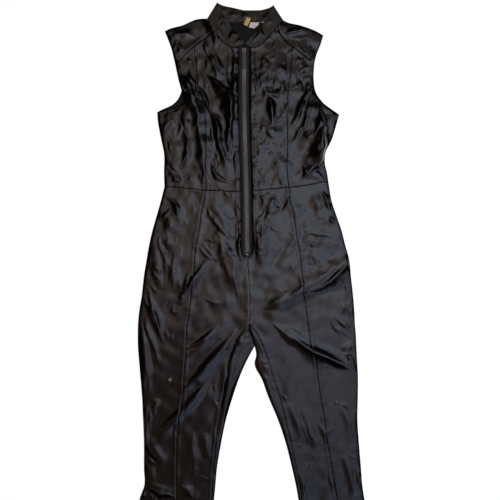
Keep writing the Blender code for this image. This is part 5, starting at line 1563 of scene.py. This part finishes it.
class JUMPSUIT_OT_zip(bpy.types.Operator):
    """Make the zip's tapes and teeth, and finish its slider, pull tab and stop"""
    bl_idname = "jumpsuit.zip"
    bl_label = "Zip"

    def execute(self, context):
        for hand in HANDS:
            points, heights = self.tape(HANDS[hand])
            piece = add_cloth(f"zip_tape_{hand}", points, heights, "tape", TAPE_WALL,
                              made_of="weave")
        add_piece("zip_teeth", self.teeth(), "teeth", ["zip_chain"])
        finish_nodes(zip_slider="metal", zip_bottom_stop="metal", zip_pull="pull")
        return {"FINISHED"}

    def tape(self, side):
        """Grid of a tape: ribs along it and a cord beside the teeth,
        z = TAPE_TOP + 0.07·sin(2π·d/1.6) + 0.6·exp(-((d-8.5)/1.8)²)."""
        middle = at_heights(SEAMS["zip"], np.linspace(*TAPE_SPAN, TAPE_ROWS))
        away = np.linspace(0.1, TAPE_HALF, TAPE_COLUMNS)
        points = middle[:, None] + side * away[None, :, None] * np.array([1.0, 0.0])
        rise = 0.07 * np.sin(2 * math.pi * away / 1.6) + 0.6 * np.exp(-((away - 8.5) / 1.8) ** 2)
        return points, np.tile(TAPE_TOP + rise, (len(middle), 1))

    def teeth(self):
        """All the teeth: rings of eight points round each station, (a·|cos|^0.6, h·|sin|^0.6) with
        their signs, the two rows half a pitch apart."""
        angle = (np.arange(8) + 0.5) * math.pi / 4
        across, up = (np.sign(wave) * np.abs(wave) ** 0.6 for wave in (np.cos(angle), np.sin(angle)))
        along, half, height = np.array(TOOTH_STATIONS).T[:, :, None]
        one = np.stack([along + 0 * across, half * across, TOOTH_BASE + TOOTH_HEIGHT / 2 * (1 + height * up)],
                       axis=-1).reshape(-1, 3)
        cap = np.array([(0, 3, 2, 1), (0, 7, 4, 3), (7, 6, 5, 4)])
        faces = np.vstack([tube_quads(len(TOOTH_STATIONS), 8), cap, len(one) - 8 + cap[:, ::-1]])
        top, end = CHAIN_SPAN
        verts, quads, made = [], [], 0
        for side, start in zip(HANDS.values(), (0.5, 1.0)):
            middle = at_heights(SEAMS["zip"], np.arange(top - start * TOOTH_PITCH, end, -TOOTH_PITCH))
            placed = np.tile(one * [side, 1, 1], (len(middle), 1, 1))
            placed[..., :2] += middle[:, None]
            verts.append(placed.reshape(-1, 3))
            quads.append(made + repeated(faces[:, ::-side], len(middle), len(one)))
            made += len(verts[-1])
        return quad_mesh("zip_teeth", np.vstack(verts) * MM, np.vstack(quads))


class JUMPSUIT_OT_labels(bpy.types.Operator):
    """Finish the ribbon at the back neck and the bare care label"""
    bl_idname = "jumpsuit.labels"
    bl_label = "Labels"

    def execute(self, context):
        finish_nodes(neck_label="ribbon", care_label="label")
        return {"FINISHED"}


class JUMPSUIT_OT_stitching(bpy.types.Operator):
    """Sew the topstitching beside the zip, the armhole bands and the seams"""
    bl_idname = "jumpsuit.stitching"
    bl_label = "Stitching"

    def execute(self, context):
        for hand in HANDS:
            lines = [beside(*LAID[f"{name}_{hand}"], side, distance)[:rows]
                     for name, side, distance, rows in STITCHED]
            add_piece(f"stitching_{hand}", quad_mesh(f"stitching_{hand}", *stitches(lines)), "thread")
        return {"FINISHED"}


class JUMPSUIT_OT_stage(bpy.types.Operator):
    """Set the camera, the lights and the white ground"""
    bl_idname = "jumpsuit.stage"
    bl_label = "Stage"

    def execute(self, context):
        scene, settings = context.scene, context.scene.jumpsuit_stage
        data = bpy.data.cameras.new("camera")
        data.lens, data.sensor_width = LENS, 36.0
        data.clip_end = 20.0
        scene.camera = new_object("camera", data)
        scene.camera.location = CAMERA

        for name, place, size, setting, share, colour in PANELS:
            data = bpy.data.lights.new(name, "AREA")
            data.shape = "RECTANGLE"
            data.size, data.size_y = size
            # radiance · π · area
            data.energy = share * getattr(settings, setting) * math.pi * size[0] * size[1]
            data.color = colour
            light = new_object(name, data)
            light.location = place
            light.rotation_euler = (0, 0, PANEL_TURN)
            light.visible_camera = False

        data = bpy.data.lights.new("label_light", "SPOT")
        data.spot_size, data.spot_blend = LABEL_CONE, 0.5
        data.energy = settings.label_light
        data.color = (1.0, 0.95, 0.88)
        data.shadow_soft_size = 0.02
        beam = new_object("label_light", data)
        beam.visible_glossy = False
        beam.location = LABEL_LIGHT
        beam.rotation_euler = (Vector(LABEL) - Vector(LABEL_LIGHT)).to_track_quat("-Z", "Y").to_euler()

        floor = bpy.data.meshes.new("ground")
        floor.from_pydata([(x * GROUND_HALF, y * GROUND_HALF, GROUND_TOP)
                           for x, y in ((-1, -1), (1, -1), (1, 1), (-1, 1))], [], [(0, 1, 2, 3)])
        look = bpy.data.materials.new("ground")
        look.use_nodes = True
        shader = look.node_tree.nodes["Principled BSDF"]
        for socket, value in (("Base Color", (*[GROUND_GREY] * 3, 1)), ("Roughness", 1.0),
                              ("Specular IOR Level", 0.0), ("Emission Color", (1, 1, 1, 1)),
                              ("Emission Strength", settings.ground)):
            shader.inputs[socket].default_value = value
        floor.materials.append(look)
        new_object("ground", floor)

        scene.world = bpy.data.worlds.new("room")
        scene.world.use_nodes = True
        background = scene.world.node_tree.nodes["Background"]
        background.inputs["Color"].default_value = (*[ROOM_GREY] * 3, 1)
        scene.view_settings.view_transform = "Standard"
        return {"FINISHED"}


class JUMPSUIT_PT_sidebar(bpy.types.Panel):
    """Jumpsuit"""
    bl_label = "Jumpsuit"
    bl_space_type = "VIEW_3D"
    bl_region_type = "UI"
    bl_category = "Jumpsuit"

    def draw(self, context):
        for settings in (context.scene.jumpsuit_cloth, context.scene.jumpsuit_zip,
                         context.scene.jumpsuit_stage):
            box = self.layout.box()
            for name in settings.bl_rna.properties.keys():
                if name not in ("rna_type", "name"):
                    box.prop(settings, name)
        for operator in OPERATORS:
            self.layout.operator(operator.bl_idname)


SETTINGS = {"jumpsuit_cloth": JumpsuitCloth, "jumpsuit_zip": JumpsuitZip,
            "jumpsuit_stage": JumpsuitStage}
OPERATORS = [JUMPSUIT_OT_front, JUMPSUIT_OT_backs, JUMPSUIT_OT_bands, JUMPSUIT_OT_collar,
             JUMPSUIT_OT_zip, JUMPSUIT_OT_labels, JUMPSUIT_OT_stitching, JUMPSUIT_OT_stage]


def register():
    for cls in [*SETTINGS.values(), *OPERATORS, JUMPSUIT_PT_sidebar]:
        bpy.utils.register_class(cls)
    for name, cls in SETTINGS.items():
        setattr(bpy.types.Scene, name, PointerProperty(type=cls))


def unregister():
    for name in SETTINGS:
        delattr(bpy.types.Scene, name)
    for cls in [JUMPSUIT_PT_sidebar, *reversed(OPERATORS), *reversed(SETTINGS.values())]:
        bpy.utils.unregister_class(cls)


def main():
    """Register the add-on and run its operators in order."""
    register()
    for operator in OPERATORS:
        group, name = operator.bl_idname.split(".")
        getattr(getattr(bpy.ops, group), name)()


if __name__ == "__main__":
    main()
